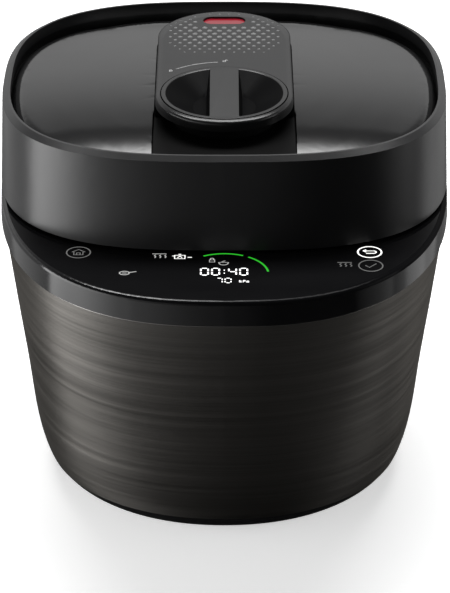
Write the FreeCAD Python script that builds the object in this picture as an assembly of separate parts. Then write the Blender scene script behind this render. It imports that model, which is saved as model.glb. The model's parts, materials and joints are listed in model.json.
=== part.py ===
"""Electric pressure cooker with a hinged lid, a turning lock knob and a ledge-shaped touch panel.

Millimetres, +Z up, front towards -Y. Pieces are drawn about the axis of the round pot and then moved
back by POT_Y, so that the origin is at the middle of the footprint, on the table.
"""
import FreeCAD
import Part

import math
import os

V = FreeCAD.Vector
ORIGIN = V(0, 0, 0)
UP = V(0, 0, 1)
RIGHT = V(1, 0, 0)
BACKWARDS = V(0, 1, 0)

# Overall heights
FOOT_HEIGHT = 2.0
TRAY_TOP = 12.0
WRAP_SHOULDER = 24.0
WRAP_KNEE = 46.0
WRAP_TOP = 224.0
COLLAR_TOP = 242.0
LID_BOTTOM = 245.0
RIM_EDGE = 309.5
RIM_CREST = 312.5
BRIDGE_TOP = 322.0

# Plan outlines: half width, reach to the front, reach to the back, roundness of front and of back
LID_PLAN = (161.4, 142.2, 144.5, 2.9, 2.8)
LID_FOOT_PLAN = (164.0, 150.0, 148.5, 2.9, 2.8)
COLLAR_PLAN = (164.2, 221.0, 151.0, 2.5, 2.8)
WRAP_TOP_PLAN = (163.2, 220.0, 150.0, 2.5, 2.8)
WRAP_KNEE_PLAN = (144.0, 154.0, 138.0, 2.28, 2.28)
WRAP_SHOULDER_PLAN = (139.8, 142.5, 134.8, 2.2, 2.2)
WRAP_FOOT_PLAN = (136.5, 132.5, 131.0, 2.15, 2.15)
TRAY_PLAN = (131.0, 128.5, 127.5, 2.1, 2.1)
QUARTER_POINTS = 8
RAKE_STEPS = 4

# Walls and gaps
SHELL_WALL = 2.6
STEEL_WALL = 0.8
TRAY_WALL = 2.5
PLATE = 2.5
CLEAR = 0.3
RUNNING = 0.05
PRESSED = 0.02
PAST = 1.0
FAR = 250.0

# Base tray, feet, stands and screws
TRAY_SOFT = 3.0
TRAY_SIDE = 4.5
TRAY_LIP = 5.0
TRAY_LIP_GAP = 0.6
TRAY_TUCK = 0.4
TRAY_FLOOR = FOOT_HEIGHT + TRAY_WALL
VENT_COUNT = 24
VENT_SKIP = 3
VENT_REACH = (52.0, 72.0)
VENT_HALF = 2.0
FOOT_COUNT = 4
FOOT_FIRST_DEG = 45.0
FOOT_RADIUS = 100.0
FOOT_R = 9.0
FOOT_CHAMFER = 0.5
LEG_ANGLES = (30, 150, 270)
LEG_SCREW_RADIUS = 80.0
LEG_POST_RADIUS = 107.0
LEG_R = 8.0
LEG_FOOT_HIGH = 12.0
LEG_WEB_HALF = 4.0
SCREW_R = 1.6
SCREW_HEAD_R = 3.5
SCREW_HEAD_HIGH = 1.3
SCREW_LONG = 8.8
SCREW_SINK = 0.2

# Collar, touch panel and boards
COLLAR_FLARE = 0.6
COLLAR_EDGE = 3.0
COLLAR_WALL = 3.5
PANEL_THICK = 2.0
PANEL_MARGIN = 3.0
PANEL_GAP = 0.15
PANEL_BACK_Y = -62.0
LID_OVERLAP = 4.0
WINDOW = ((-36.0, -202.0), (36.0, -146.0))
WINDOW_DEEP = 6.0
DISPLAY_LOW = 234.0
DISPLAY_GAP = 0.5
DISPLAY_BOARD_WIDER = 10.0
BOARD_THICK = 1.6
CHIP = (16.0, 16.0, 2.4)
BOARD_Z = 199.0
BOARD_AREA = ((-72.0, -190.0), (72.0, -150.0))
TRANSFORMER = ((-52.0, -187.0), (-26.0, -157.0), 18.4)
RELAY = ((30.0, -188.0), (52.0, -172.0), 15.4)
CAPACITORS = ((-10.0, -170.0), (6.0, -170.0))
CAPACITOR_R = 6.0
CAPACITOR_HIGH = 20.4
PILLARS = ((-66.0, -158.0), (66.0, -158.0), (-66.0, -182.0), (66.0, -182.0))
PILLAR_R = 4.0

# Mains inlet
INLET_Z = 42.0
INLET_BACK = 139.0
INLET_FLANGE = (18.0, 14.0)
INLET_BODY = (15.0, 11.0)
INLET_MOUTH = (12.5, 9.0)
INLET_DEPTH = 17.0
INLET_LONG = 22.0
INLET_FLANGE_THICK = 4.0
INLET_CUT = (120.0, 150.0)
BLADE_HALF = (1.0, 2.0)
BLADE_PLACES = ((-7.0, -2.0), (0.0, 2.5), (7.0, -2.0))
BLADE_ENDS = (30.0, 7.0)

# Pressure shell, pot, heater and sensor
POT_OUTER_R = 112.8
POT_WALL = 2.2
POT_FLOOR = 92.0
POT_FLOOR_THICK = 2.5
POT_CORNER = 18.0
POT_RIM_R = 121.0
SHELL_INNER_R = 115.2
SHELL_OUTER_R = 117.0
SHELL_HOLE_R = 97.0
SHELL_FLOOR = 70.0
SHELL_RIM = 239.0
SHELL_SEAT_R = 121.0
SHELL_SEAT_THICK = 2.5
FLANGE_THICK = 3.5
FLANGE_R = 122.0
LUG_TIP_R = 129.0
LUG_ROOT = 0.5
LUG_COUNT = 8
SHELL_LUG_DEG = 20.0
LEDGE_TOP = 227.0
LEDGE_R = 118.0
WELL_R = 138.5
WELL_WALL = 2.5
HEATER_BOTTOM = 80.0
HEATER_PLATE_R = 104.0
HEATER_SKIRT_R = 99.0
HEATER_BEVEL = (8.0, 4.0)
HEATER_POCKETS = ((94.0, 72.0), (52.0, 27.0))
POCKET_DEEP = 6.0
HEATER_RADIUS = 62.0
HEATER_R = 4.5
HEATER_TURN_DEG = 330.0
TERMINAL_R = 3.5
TERMINAL_LONG = 18.0
SENSOR_HOLE_R = 17.0
SENSOR_R = 14.0
SENSOR_THICK = 12.0
SENSOR_STEM = (7.0, 4.0)
SENSOR_BORE_DEEP = 6.0
SENSOR_EDGE = 1.0
CUP_FLOOR = 66.0
CUP_WALL = 2.0
CUP_FLANGE = 5.0
CUP_BORE_STEP = 1.5
STEM_GAP = 5.0
SPRING_WIRE_R = 0.7
SENSOR_SPRING = (9.0, 4)
HINGE_SPRING = (4.9, 6, 2.4)
GAP_STEPS = 24

# Rear hinge
HINGE_Y = 160.5
HINGE_Z = 240.0
PIN_R = 3.0
PIN_SHORT = 3.0
KNUCKLE_R = 8.0
ARM_HALF = 21.5
ARM_GAP = 0.6
ARM_FRONT_Y = 140.0
ARM_STRAP = (6.0, 32.0)
ARM_SLOPE = (12.0, 7.0)
HOUSING_HALF = 45.0
HOUSING_FRONT_Y = 146.0
SPRING_ROOM = (6.6, 9.0)

# Lid shell, carrier plate, domed panel and liner
RIM_BEVEL = 4.2
RIM_INNER = 5.8
RIM_LIP_LOW = 303.7
RIM_UNDERCUT = 3.4
DECK_BOTTOM = 293.5
DECK_TOP = 296.0
WELL_FLOOR = 303.0
CHANNEL_HALF = 50.6
THRESHOLD = (23.0, 3.0, 1.5)
THRESHOLD_Y = -124.0
VALVE_OPENING = 14.0
PANEL_INSET = 7.9
PANEL_CROWN = 309.6
CROWN_R = 2600.0
SIDE_ROLL = 9.0
END_ROLL = 30.0
LINER_INSET = 3.8
LINER_LOW = 245.5
LINER_THICK = 3.0
LINER_POSTS = ((-116.0, -88.0), (116.0, -88.0), (-116.0, 90.0), (116.0, 90.0))
LINER_POST_R = 5.0
LINER_SCREW_TOP = 260.0
LINER_SINK_R = 4.0
LINER_SINK = 1.5

# Bridge with its steam grille, and the knob's seat
BRIDGE_R = 49.5
BRIDGE_BACK_Y = 61.0
BRIDGE_EDGE = 8.0
BRIDGE_ROLL = ((8.0, 0.0, 0.0), (3.5, 0.1, 5.0), (1.0, 1.3, 13.5), (0.0, 4.5, 17.0))
SEAT_GAP = 0.8
SEAT_WALL = 2.0
NECK_R = 37.5
NECK_WALL = 2.2
GRILLE_PITCH = 7.3
GRILLE_ROW = 5.74
GRILLE_FRONT_Y = 20.0
GRILLE_ROWS = 15
GRILLE_COLUMNS = 6
GRILLE_MARGIN = 3.2
GRILLE_EDGE = 6.0
GRILLE_FADE = (8.0, 36.0, 26.0)
HOLE_R = 2.0
LEAST_HOLE_R = 0.8

# Knob, its gear and the bayonet ring
KNOB_Y = -53.0
KNOB_R = 45.2
KNOB_TOP = 322.3
KNOB_EDGE = 0.8
GRIP_WIDTH = 21.0
GRIP_DRAFT = 4.0
SCOOP_R = 41.5
SCOOP_DEPTH = 14.5
KNOB_FLANGE_LOW = 316.9
BOWL_R = 34.6
BOWL_LOW = 304.0
SHAFT_R = 6.0
SHAFT_LOW_R = 5.0
SHAFT_SOCKET = 2.0
SHAFT_END = 1.0
PINION_SCREW = (7.0, 3.0)
MODULE = 2.0
PINION_TEETH = 26
RING_TEETH = 79
PITCH_PINION = MODULE * PINION_TEETH / 2
PITCH_RING = MODULE * RING_TEETH / 2
PINION_TOOTH = (2.4, 1.7)
RING_TOOTH = (3.0, 2.5)
PRESSURE_ANGLE = math.radians(20)
FLANK_STEPS = 4
BACKLASH = 0.3
GEAR_Z = 272.0
GEAR_THICK = 6.0
SECTOR_HALF_DEG = 34.0
SECTOR_WINDOW = (92.0, 114.0)
SECTOR_END_DEG = 8.0
SECTOR_INNER = 1.5
SECTOR_OUTER = 2.0
RING_INNER_R = 131.0
RING_OUTER_R = 135.0
RING_SHELF_R = 120.0
RING_SHELF_THICK = 4.0
RING_LUG_R = 124.8
RING_LUG_DEG = 19.0
RING_BOTTOM = 229.5
RING_TOP = 272.0

# Under the lid: pressure lid, inner lid, seal and valves
DISC_LOW = 263.0
DISC_HIGH = 265.0
DISC_R = 104.0
DISC_FLANGE = (113.0, 128.0, 255.0, 257.0)
DISC_BEND = 1.5
LID_POSTS = ((-58.0, 0.0), (58.0, 0.0), (-42.0, 62.0), (42.0, 62.0))
LID_POST_R = 6.0
GUIDE_R = (121.5, 127.0)
GUIDE_DEG = 12.0
GUIDE_GAP = 0.1
GUIDE_COUNT = 4
INNER_LID_Z = 250.0
INNER_LID_THICK = 2.0
INNER_LID_R = 106.0
INNER_FLANGE = (246.0, 248.0)
INNER_FLANGE_R = (111.0, 117.0)
INNER_BEND = 1.2
SEAL_LOW = SHELL_RIM + POT_WALL + CLEAR
SEAL_HIGH = 251.0
SEAL_R = (112.0, 121.6)
SEAL_GRIP_R = 113.6
SEAL_SOFT = 1.0
NUT_R = 9.0
NUT_STEM_R = 4.0
NUT_LOW = 243.0
NUT_SOFT = (2.0, 1.5)
CAP_R = 12.0
CAP_WALL = 1.5
CAP_LOW = 245.0
CAP_HOLE_R = 1.2
CAP_HOLE_RADIUS = 6.0
CAP_HOLES = 6
WEIGHT_Y = 40.0
WEIGHT_R = 11.0
WEIGHT_TOP = 298.0
WEIGHT_LIFT_GAP = 3.0
WEIGHT_BORE_R = 4.3
WEIGHT_SOFT = 2.0
VENT_R = 4.0
VENT_BORE_R = 1.5
VENT_HOLE_R = 3.0
VENT_TOP = 284.0
SOLENOID = ((-40.0, 24.0), (-17.0, 52.0), 20.0)
SOLENOID_WALL = 3.0
WINDING_R = 6.8
FLOAT_Y = 80.0
FLOAT_SLOT = (32.0, 14.0)
FLOAT_HEAD = (312.0, 320.5)
FLOAT_HEAD_GAP = 0.35
FLOAT_STEM_R = 3.0
FLOAT_STEM_GAP = 0.4
FLOAT_GUIDE_R = 5.5
FLOAT_GUIDE_TOP = 311.6
FLOAT_SEAL = (7.0, 242.8, 246.0)

# The footprint reaches from the ledge in front to the hinge behind
POT_Y = (COLLAR_PLAN[1] + COLLAR_FLARE - HINGE_Y - KNUCKLE_R) / 2


def outline(plan, z, grow=0.0):
    """Closed rounded curve at height z, with a formula of its own for the front and the back half."""
    side, front, back, front_power, back_power = plan
    points = []
    for step in range(4 * QUARTER_POINTS):
        turn = math.pi / 2 * step / QUARTER_POINTS
        across, along = math.cos(turn), math.sin(turn)
        reach, power = (back, back_power) if along >= 0 else (front, front_power)
        x = math.copysign(abs(across) ** (2 / power), across) * (side + grow)
        y = math.copysign(abs(along) ** (2 / power), along) * (reach + grow)
        points.append(V(x, y, z))
    curve = Part.BSplineCurve()
    curve.interpolate(points, PeriodicFlag=True)
    return curve, points[::QUARTER_POINTS]


def section(plan, z, grow=0.0):
    """The outline as a wire of four quarters, for lofts."""
    curve, corners = outline(plan, z, grow)
    stops = [curve.FirstParameter, *[curve.parameter(c) for c in corners[1:]], curve.LastParameter]
    return Part.Wire([curve.toShape(a, b) for a, b in zip(stops, stops[1:])])


def blend(first, second, share):
    """Outline a share of the way from one plan to another."""
    return tuple(a + (b - a) * share for a, b in zip(first, second))


def loft(wires, ruled=False):
    return Part.makeLoft(wires, True, ruled)


def slab(plan, low, high, grow=0.0):
    """Straight-sided block with a rounded outline."""
    curve, _ = outline(plan, low, grow)
    return Part.Face(Part.Wire([curve.toShape()])).extrude(V(0, 0, high - low))


def disc(radius, low, high, x=0.0, y=0.0):
    return Part.makeCylinder(radius, high - low, V(x, y, low))


def tube(outer, inner, low, high, x=0.0, y=0.0):
    return disc(outer, low, high, x, y).cut(disc(inner, low - PAST, high + PAST, x, y))


def box(low, high):
    return Part.makeBox(high[0] - low[0], high[1] - low[1], high[2] - low[2], V(*low))


def block(area, low, high):
    """Upright block over a rectangle given by two of its corners."""
    return box((*area[0], low), (*area[1], high))


def prism(corners, travel):
    """Flat polygon drawn out along a direction."""
    return Part.Face(Part.makePolygon(corners + corners[:1])).extrude(travel)


def revolve(profile):
    """Solid of revolution about the pot's axis from (radius, height) corners."""
    corners = [V(r, 0, z) for r, z in profile]
    face = Part.Face(Part.makePolygon(corners + corners[:1]))
    return face.revolve(ORIGIN, UP, 360)


def slot_outline(half_width, y_front, y_back, z):
    """Slot-shaped wire along Y, with round ends about y_front and y_back."""
    front_left, front_right = V(-half_width, y_front, z), V(half_width, y_front, z)
    back_left, back_right = V(-half_width, y_back, z), V(half_width, y_back, z)
    front = Part.Arc(front_left, V(0, y_front - half_width, z), front_right)
    back = Part.Arc(back_right, V(0, y_back + half_width, z), back_left)
    sides = [Part.LineSegment(front_right, back_right), Part.LineSegment(back_left, front_left)]
    return Part.Wire([edge.toShape() for edge in (front, sides[0], back, sides[1])])


def obround(half_width, y_front, y_back, low, high):
    """Slot-shaped block along Y."""
    return Part.Face(slot_outline(half_width, y_front, y_back, low)).extrude(V(0, 0, high - low))


def cross_obround(length, width, low, high, y):
    """Slot-shaped block along X, in the middle of the object."""
    reach = (length - width) / 2
    shape = obround(width / 2, -reach, reach, low, high)
    shape.rotate(ORIGIN, UP, 90)
    shape.translate(V(0, y, 0))
    return shape


def ring_sector(inner, outer, low, high, middle_deg, width_deg):
    """Piece of a flat ring, centred on an angle about the pot's axis."""
    corners = [V(inner, 0, low), V(outer, 0, low), V(outer, 0, high), V(inner, 0, high)]
    face = Part.Face(Part.makePolygon(corners + corners[:1]))
    face.rotate(ORIGIN, UP, middle_deg - width_deg / 2)
    return face.revolve(ORIGIN, UP, width_deg)


def spread(shape, count, first_deg=0.0):
    """Copies of a shape, evenly turned about the pot's axis."""
    copies = []
    for step in range(count):
        copy = shape.copy()
        copy.rotate(ORIGIN, UP, first_deg + 360.0 * step / count)
        copies.append(copy)
    return copies


def fused(first, *others):
    return first.fuse(list(others)).removeSplitter()


def at_angle(radius, degrees):
    return radius * math.cos(math.radians(degrees)), radius * math.sin(math.radians(degrees))


def twin_arcs(start, leave, end, arrive):
    """Two arcs that run on from each other, between two points with given directions."""
    chord = end - start
    along = chord.dot(leave + arrive)
    bend = 2 * (1 - leave.dot(arrive))
    leg = (math.sqrt(along ** 2 + bend * chord.dot(chord)) - along) / bend
    corners = [start + leave * leg, end - arrive * leg]
    joint = (corners[0] + corners[1]) / 2
    arcs = []
    for a, corner, b in ((start, corners[0], joint), (joint, corners[1], end)):
        weight = (b - a).Length / (2 * leg)
        middle = (a + b + corner * (2 * weight)) / (2 * (1 + weight))
        arcs.append(Part.Arc(a, middle, b).toShape())
    return arcs


def coil(radius, wire_r, pitch, turns):
    """Open wire coil about +Z, standing on z = 0."""
    def point(quarter):
        x, y = at_angle(radius, 90 * quarter)
        return V(x, y, pitch * quarter / 4)

    def heading(quarter):
        x, y = at_angle(radius * math.pi / 2, 90 * (quarter + 1))
        return V(x, y, pitch / 4).normalize()

    arcs = []
    for quarter in range(4 * turns):
        arcs += twin_arcs(point(quarter), heading(quarter), point(quarter + 1), heading(quarter + 1))
    ring = Part.Wire([Part.makeCircle(wire_r, point(0), heading(0))])
    path = Part.Wire(arcs)
    print("coil of", turns, "turns, least gap", round(least_gap(path, wire_r, turns), 2))
    return path.makePipeShell([ring], True, False)


def least_gap(path, wire_r, turns):
    """Least gap between a coil's wire and the wire half a turn or more further on."""
    points = path.discretize(GAP_STEPS * turns + 1)
    gaps = []
    for n, here in enumerate(points):
        gaps += [here.distanceToPoint(there) for there in points[n + GAP_STEPS // 2:]]
    return min(gaps) - 2 * wire_r


# Base: tray, feet, stands and screws

def base_tray():
    """Shallow tray with a lip inside the steel wrap, vents between the feet and sunk screw holes."""
    outer = loft([section(TRAY_PLAN, FOOT_HEIGHT, -TRAY_SOFT), section(TRAY_PLAN, TRAY_FLOOR),
                  section(WRAP_FOOT_PLAN, TRAY_TOP, -TRAY_TUCK)])
    lip = slab(WRAP_FOOT_PLAN, TRAY_TOP, TRAY_TOP + TRAY_LIP, -STEEL_WALL - TRAY_LIP_GAP)
    room = loft([section(TRAY_PLAN, TRAY_FLOOR, -TRAY_SIDE),
                 section(WRAP_FOOT_PLAN, TRAY_TOP + TRAY_LIP + PAST, -TRAY_SIDE)])
    slot = box((VENT_REACH[0], -VENT_HALF, 0), (VENT_REACH[1], VENT_HALF, TRAY_FLOOR + PAST))
    holes = [vent for n, vent in enumerate(spread(slot, VENT_COUNT)) if n % VENT_SKIP]
    sink_top = FOOT_HEIGHT + SCREW_SINK + SCREW_HEAD_HIGH
    for angle in LEG_ANGLES:
        x, y = at_angle(LEG_SCREW_RADIUS, angle)
        holes.append(disc(SCREW_HEAD_R + 2 * SCREW_SINK, 0, sink_top, x, y))
        holes.append(disc(SCREW_R + 2 * RUNNING, 0, TRAY_FLOOR + PAST, x, y))
    return fused(outer, lip).cut(room).cut(holes)


def rubber_feet():
    foot = disc(FOOT_R, 0, FOOT_HEIGHT, FOOT_RADIUS, 0)
    sole = [e for e in foot.Edges if e.BoundBox.ZMax < FOOT_HEIGHT / 2]
    return Part.Compound(spread(foot.makeChamfer(FOOT_CHAMFER, sole), FOOT_COUNT, FOOT_FIRST_DEG))


def support_legs():
    legs = []
    for angle in LEG_ANGLES:
        x, y = at_angle(LEG_POST_RADIUS, angle)
        near_x, near_y = at_angle(LEG_SCREW_RADIUS, angle)
        foot_top = TRAY_FLOOR + LEG_FOOT_HIGH
        post = disc(LEG_R, TRAY_FLOOR, SHELL_FLOOR, x, y)
        foot = disc(LEG_R, TRAY_FLOOR, foot_top, near_x, near_y)
        web = box((LEG_SCREW_RADIUS, -LEG_WEB_HALF, TRAY_FLOOR), (LEG_POST_RADIUS, LEG_WEB_HALF, foot_top))
        web.rotate(ORIGIN, UP, angle)
        pilot = disc(SCREW_R + RUNNING, TRAY_FLOOR, TRAY_FLOOR + SCREW_LONG, near_x, near_y)
        legs.append(fused(post, foot, web).cut(pilot))
    return Part.Compound(legs)


def base_screws():
    screws = []
    head_low = FOOT_HEIGHT + SCREW_SINK
    for angle in LEG_ANGLES:
        x, y = at_angle(LEG_SCREW_RADIUS, angle)
        head = disc(SCREW_HEAD_R, head_low, head_low + SCREW_HEAD_HIGH, x, y)
        shank = disc(SCREW_R, head_low + SCREW_HEAD_HIGH, TRAY_FLOOR + SCREW_LONG - CLEAR, x, y)
        screws.append(fused(head, shank))
    return Part.Compound(screws)


# Outer casing: brushed steel wrap, collar with its ledge, touch panel and boards

def wrap_body(grow):
    """Straight rake from the collar down to the knee, then a round turn in to the tray."""
    sections = []
    for step in range(RAKE_STEPS + 1):
        share = step / RAKE_STEPS
        height = WRAP_TOP + (WRAP_KNEE - WRAP_TOP) * share
        sections.append(section(blend(WRAP_TOP_PLAN, WRAP_KNEE_PLAN, share), height, grow))
    sections.append(section(WRAP_SHOULDER_PLAN, WRAP_SHOULDER, grow))
    sections.append(section(WRAP_FOOT_PLAN, TRAY_TOP, grow))
    return loft(sections)


def inlet_block(half, front, back):
    return box((-half[0], front, INLET_Z - half[1]), (half[0], back, INLET_Z + half[1]))


def body_wrap():
    return wrap_body(0.0).cut([wrap_body(-STEEL_WALL), inlet_block(INLET_FLANGE, *INLET_CUT)])


def panel_area(low, high, margin):
    """Crescent between the lid's front edge and the edge of the ledge."""
    whole = slab(COLLAR_PLAN, low, high, -margin)
    under_lid = slab(LID_FOOT_PLAN, low - PAST, high + PAST, -LID_OVERLAP)
    behind = box((-FAR, PANEL_BACK_Y, low - PAST), (FAR, FAR, high + PAST))
    return whole.cut([under_lid, behind])


def collar_side():
    """Outside of the collar, below its rounded top edge."""
    foot = section(COLLAR_PLAN, WRAP_TOP, COLLAR_FLARE)
    return loft([foot, section(COLLAR_PLAN, COLLAR_TOP - COLLAR_EDGE)], True)


def collar():
    soft = COLLAR_EDGE * (1 - math.sqrt(0.5))
    top = loft([section(COLLAR_PLAN, COLLAR_TOP - COLLAR_EDGE),
                section(COLLAR_PLAN, COLLAR_TOP - soft, -soft),
                section(COLLAR_PLAN, COLLAR_TOP, -COLLAR_EDGE)])
    well_wall = disc(WELL_R + WELL_WALL, WRAP_TOP - 2 * PAST, COLLAR_TOP)
    room = slab(COLLAR_PLAN, WRAP_TOP - PAST, COLLAR_TOP - COLLAR_WALL, -COLLAR_WALL).cut(well_wall)
    ledge = tube(WELL_R + WELL_WALL, LEDGE_R, WRAP_TOP, LEDGE_TOP)
    shell = fused(collar_side(), top).cut(room).cut(disc(WELL_R, WRAP_TOP - PAST, COLLAR_TOP + PAST))
    window = block(WINDOW, COLLAR_TOP - WINDOW_DEEP, COLLAR_TOP)
    shell = shell.cut(panel_area(COLLAR_TOP - PANEL_THICK, COLLAR_TOP + PAST, PANEL_MARGIN)).cut(window)
    pillar_top = COLLAR_TOP - COLLAR_WALL + CLEAR
    pillars = [disc(PILLAR_R, BOARD_Z + BOARD_THICK, pillar_top, x, y) for x, y in PILLARS]
    return fused(shell, ledge, *pillars)


def control_panel():
    return panel_area(COLLAR_TOP - PANEL_THICK, COLLAR_TOP, PANEL_MARGIN + PANEL_GAP)


def display_module():
    (x0, y0), (x1, y1) = WINDOW
    area = ((x0 + DISPLAY_GAP, y0 + DISPLAY_GAP), (x1 - DISPLAY_GAP, y1 - DISPLAY_GAP))
    return block(area, DISPLAY_LOW, COLLAR_TOP - PANEL_THICK)


def display_board():
    (x0, y0), (x1, y1) = WINDOW
    area = ((x0 - DISPLAY_BOARD_WIDER, y0 + BOARD_THICK), (x1 + DISPLAY_BOARD_WIDER, y1 - BOARD_THICK))
    low = DISPLAY_LOW - BOARD_THICK
    wide, deep, thick = CHIP
    middle = (y0 + y1) / 2
    chip = box((-wide / 2, middle - deep / 2, low - thick), (wide / 2, middle + deep / 2, low))
    return fused(block(area, low, DISPLAY_LOW), chip)


def power_board():
    top = BOARD_Z + BOARD_THICK
    board = block(BOARD_AREA, BOARD_Z, top)
    blocks = [block((low, high), top, top + tall) for low, high, tall in (TRANSFORMER, RELAY)]
    capacitors = [disc(CAPACITOR_R, top, top + CAPACITOR_HIGH, x, y) for x, y in CAPACITORS]
    return fused(board, *blocks, *capacitors)


# Mains inlet

def inlet_blades(extra=0.0):
    blades = []
    for x, z in BLADE_PLACES:
        half_wide, half_tall = BLADE_HALF[0] + extra, BLADE_HALF[1] + extra
        blades.append(box((x - half_wide, INLET_BACK - BLADE_ENDS[0], INLET_Z + z - half_tall),
                          (x + half_wide, INLET_BACK - BLADE_ENDS[1], INLET_Z + z + half_tall)))
    return blades


def power_inlet():
    housing = fused(inlet_block(INLET_BODY, INLET_BACK - INLET_LONG, INLET_BACK),
                    inlet_block(INLET_FLANGE, INLET_BACK - INLET_FLANGE_THICK, INLET_BACK))
    mouth = inlet_block(INLET_MOUTH, INLET_BACK - INLET_DEPTH, INLET_BACK + PAST)
    return housing.cut([mouth, *inlet_blades(PRESSED)])


def inlet_pins():
    return Part.Compound(inlet_blades())


# Heating: pressure shell, plate, heater tube, sprung sensor and the pot itself

def outer_pot():
    floor_top = SHELL_FLOOR + SHELL_OUTER_R - SHELL_INNER_R
    seat_top = LEDGE_TOP + SHELL_SEAT_THICK
    lug_low = SHELL_RIM - FLANGE_THICK
    shell = revolve([(SHELL_INNER_R, floor_top), (SHELL_HOLE_R, floor_top), (SHELL_HOLE_R, SHELL_FLOOR),
                     (SHELL_OUTER_R, SHELL_FLOOR), (SHELL_OUTER_R, LEDGE_TOP), (SHELL_SEAT_R, LEDGE_TOP),
                     (SHELL_SEAT_R, seat_top), (SHELL_OUTER_R, seat_top), (SHELL_OUTER_R, lug_low),
                     (FLANGE_R, lug_low), (FLANGE_R, SHELL_RIM), (SHELL_INNER_R, SHELL_RIM)])
    lug = ring_sector(FLANGE_R - LUG_ROOT, LUG_TIP_R, lug_low, SHELL_RIM, 0, SHELL_LUG_DEG)
    return fused(shell, *spread(lug, LUG_COUNT))


def heating_plate():
    skirt_low = SHELL_FLOOR + SHELL_OUTER_R - SHELL_INNER_R
    bevel_wide, bevel_high = HEATER_BEVEL
    plate = revolve([(SENSOR_HOLE_R, HEATER_BOTTOM), (HEATER_SKIRT_R, HEATER_BOTTOM),
                     (HEATER_SKIRT_R, skirt_low), (HEATER_PLATE_R, skirt_low),
                     (HEATER_PLATE_R, POT_FLOOR - bevel_high), (HEATER_PLATE_R - bevel_wide, POT_FLOOR),
                     (SENSOR_HOLE_R, POT_FLOOR)])
    groove = Part.makeTorus(HEATER_RADIUS, HEATER_R + RUNNING, V(0, 0, HEATER_BOTTOM))
    pockets = [tube(outer, inner, HEATER_BOTTOM - PAST, HEATER_BOTTOM + POCKET_DEEP)
               for outer, inner in HEATER_POCKETS]
    return plate.cut([groove, *pockets])


def heater_tube():
    ring = Part.makeTorus(HEATER_RADIUS, HEATER_R, V(0, 0, HEATER_BOTTOM), UP, -180, 180, HEATER_TURN_DEG)
    ends = []
    for angle in (0, HEATER_TURN_DEG):
        x, y = at_angle(HEATER_RADIUS, angle)
        ends.append(disc(TERMINAL_R, HEATER_BOTTOM - TERMINAL_LONG, HEATER_BOTTOM, x, y))
    return fused(ring, *ends)


def sensor_cup():
    outer, inner, floor = SENSOR_HOLE_R + CUP_FLANGE, SENSOR_HOLE_R - CUP_BORE_STEP, CUP_FLOOR + CUP_WALL
    return revolve([(0, CUP_FLOOR), (outer, CUP_FLOOR), (outer, HEATER_BOTTOM), (inner, HEATER_BOTTOM),
                    (inner, floor), (0, floor)])


def sensor_plunger():
    top = POT_FLOOR - CLEAR
    shoulder, roof = top - SENSOR_THICK, top - SENSOR_BORE_DEEP
    stem_outer, stem_inner = SENSOR_STEM
    return revolve([(0, roof), (stem_inner, roof), (stem_inner, CUP_FLOOR + STEM_GAP),
                    (stem_outer, CUP_FLOOR + STEM_GAP), (stem_outer, shoulder), (SENSOR_R, shoulder),
                    (SENSOR_R, top - SENSOR_EDGE), (SENSOR_R - SENSOR_EDGE, top), (0, top)])


def sensor_spring():
    radius, turns = SENSOR_SPRING
    low = CUP_FLOOR + CUP_WALL + SPRING_WIRE_R
    high = POT_FLOOR - CLEAR - SENSOR_THICK - SPRING_WIRE_R
    spring = coil(radius, SPRING_WIRE_R, (high - low) / turns, turns)
    spring.translate(V(0, 0, low))
    return spring


def inner_pot():
    """Spun pot: round lower corner, flat rim that hangs on the pressure shell."""
    inside = POT_OUTER_R - POT_WALL
    floor_top = POT_FLOOR + POT_FLOOR_THICK
    inner_corner = POT_CORNER - POT_WALL
    lean = math.sqrt(0.5)

    def corner(radius, floor, bend):
        middle = V(radius - bend + bend * lean, 0, floor + bend - bend * lean)
        return Part.Arc(V(radius - bend, 0, floor), middle, V(radius, 0, floor + bend))

    rim = [V(POT_OUTER_R, 0, SHELL_RIM), V(POT_RIM_R, 0, SHELL_RIM), V(POT_RIM_R, 0, SHELL_RIM + POT_WALL),
           V(inside, 0, SHELL_RIM + POT_WALL), V(inside, 0, floor_top + inner_corner)]
    edges = [
        Part.LineSegment(V(0, 0, POT_FLOOR), V(POT_OUTER_R - POT_CORNER, 0, POT_FLOOR)),
        corner(POT_OUTER_R, POT_FLOOR, POT_CORNER),
        Part.LineSegment(V(POT_OUTER_R, 0, POT_FLOOR + POT_CORNER), rim[0]),
        *[Part.LineSegment(a, b) for a, b in zip(rim, rim[1:])],
        corner(inside, floor_top, inner_corner),
        Part.LineSegment(V(inside - inner_corner, 0, floor_top), V(0, 0, floor_top)),
        Part.LineSegment(V(0, 0, floor_top), V(0, 0, POT_FLOOR)),
    ]
    wire = Part.Wire(Part.__sortEdges__([e.toShape() for e in edges]))
    return Part.Face(wire).revolve(ORIGIN, UP, 360)


# Rear hinge

def hinge_rod(radius, half):
    return Part.makeCylinder(radius, 2 * half, V(-half, HINGE_Y, HINGE_Z), RIGHT)


def hinge_pin():
    return hinge_rod(PIN_R, HOUSING_HALF - PIN_SHORT)


def hinge_housing():
    """Two cheeks behind the collar, joined below by a foot, that hold the pin."""
    back, low = HINGE_Y + KNUCKLE_R, WRAP_TOP + PAST
    block_out = box((-HOUSING_HALF, HOUSING_FRONT_Y, low), (HOUSING_HALF, back, HINGE_Z))
    room = box((-ARM_HALF - ARM_GAP, HOUSING_FRONT_Y - PAST, HINGE_Z - KNUCKLE_R - PAST),
               (ARM_HALF + ARM_GAP, back + PAST, HINGE_Z + KNUCKLE_R + PAST))
    above = slab(COLLAR_PLAN, COLLAR_TOP - COLLAR_EDGE, HINGE_Z + KNUCKLE_R + PAST, COLLAR_FLARE)
    cheeks = fused(block_out, hinge_rod(KNUCKLE_R, HOUSING_HALF))
    return cheeks.cut([room, collar_side(), above, hinge_pin()])


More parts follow.
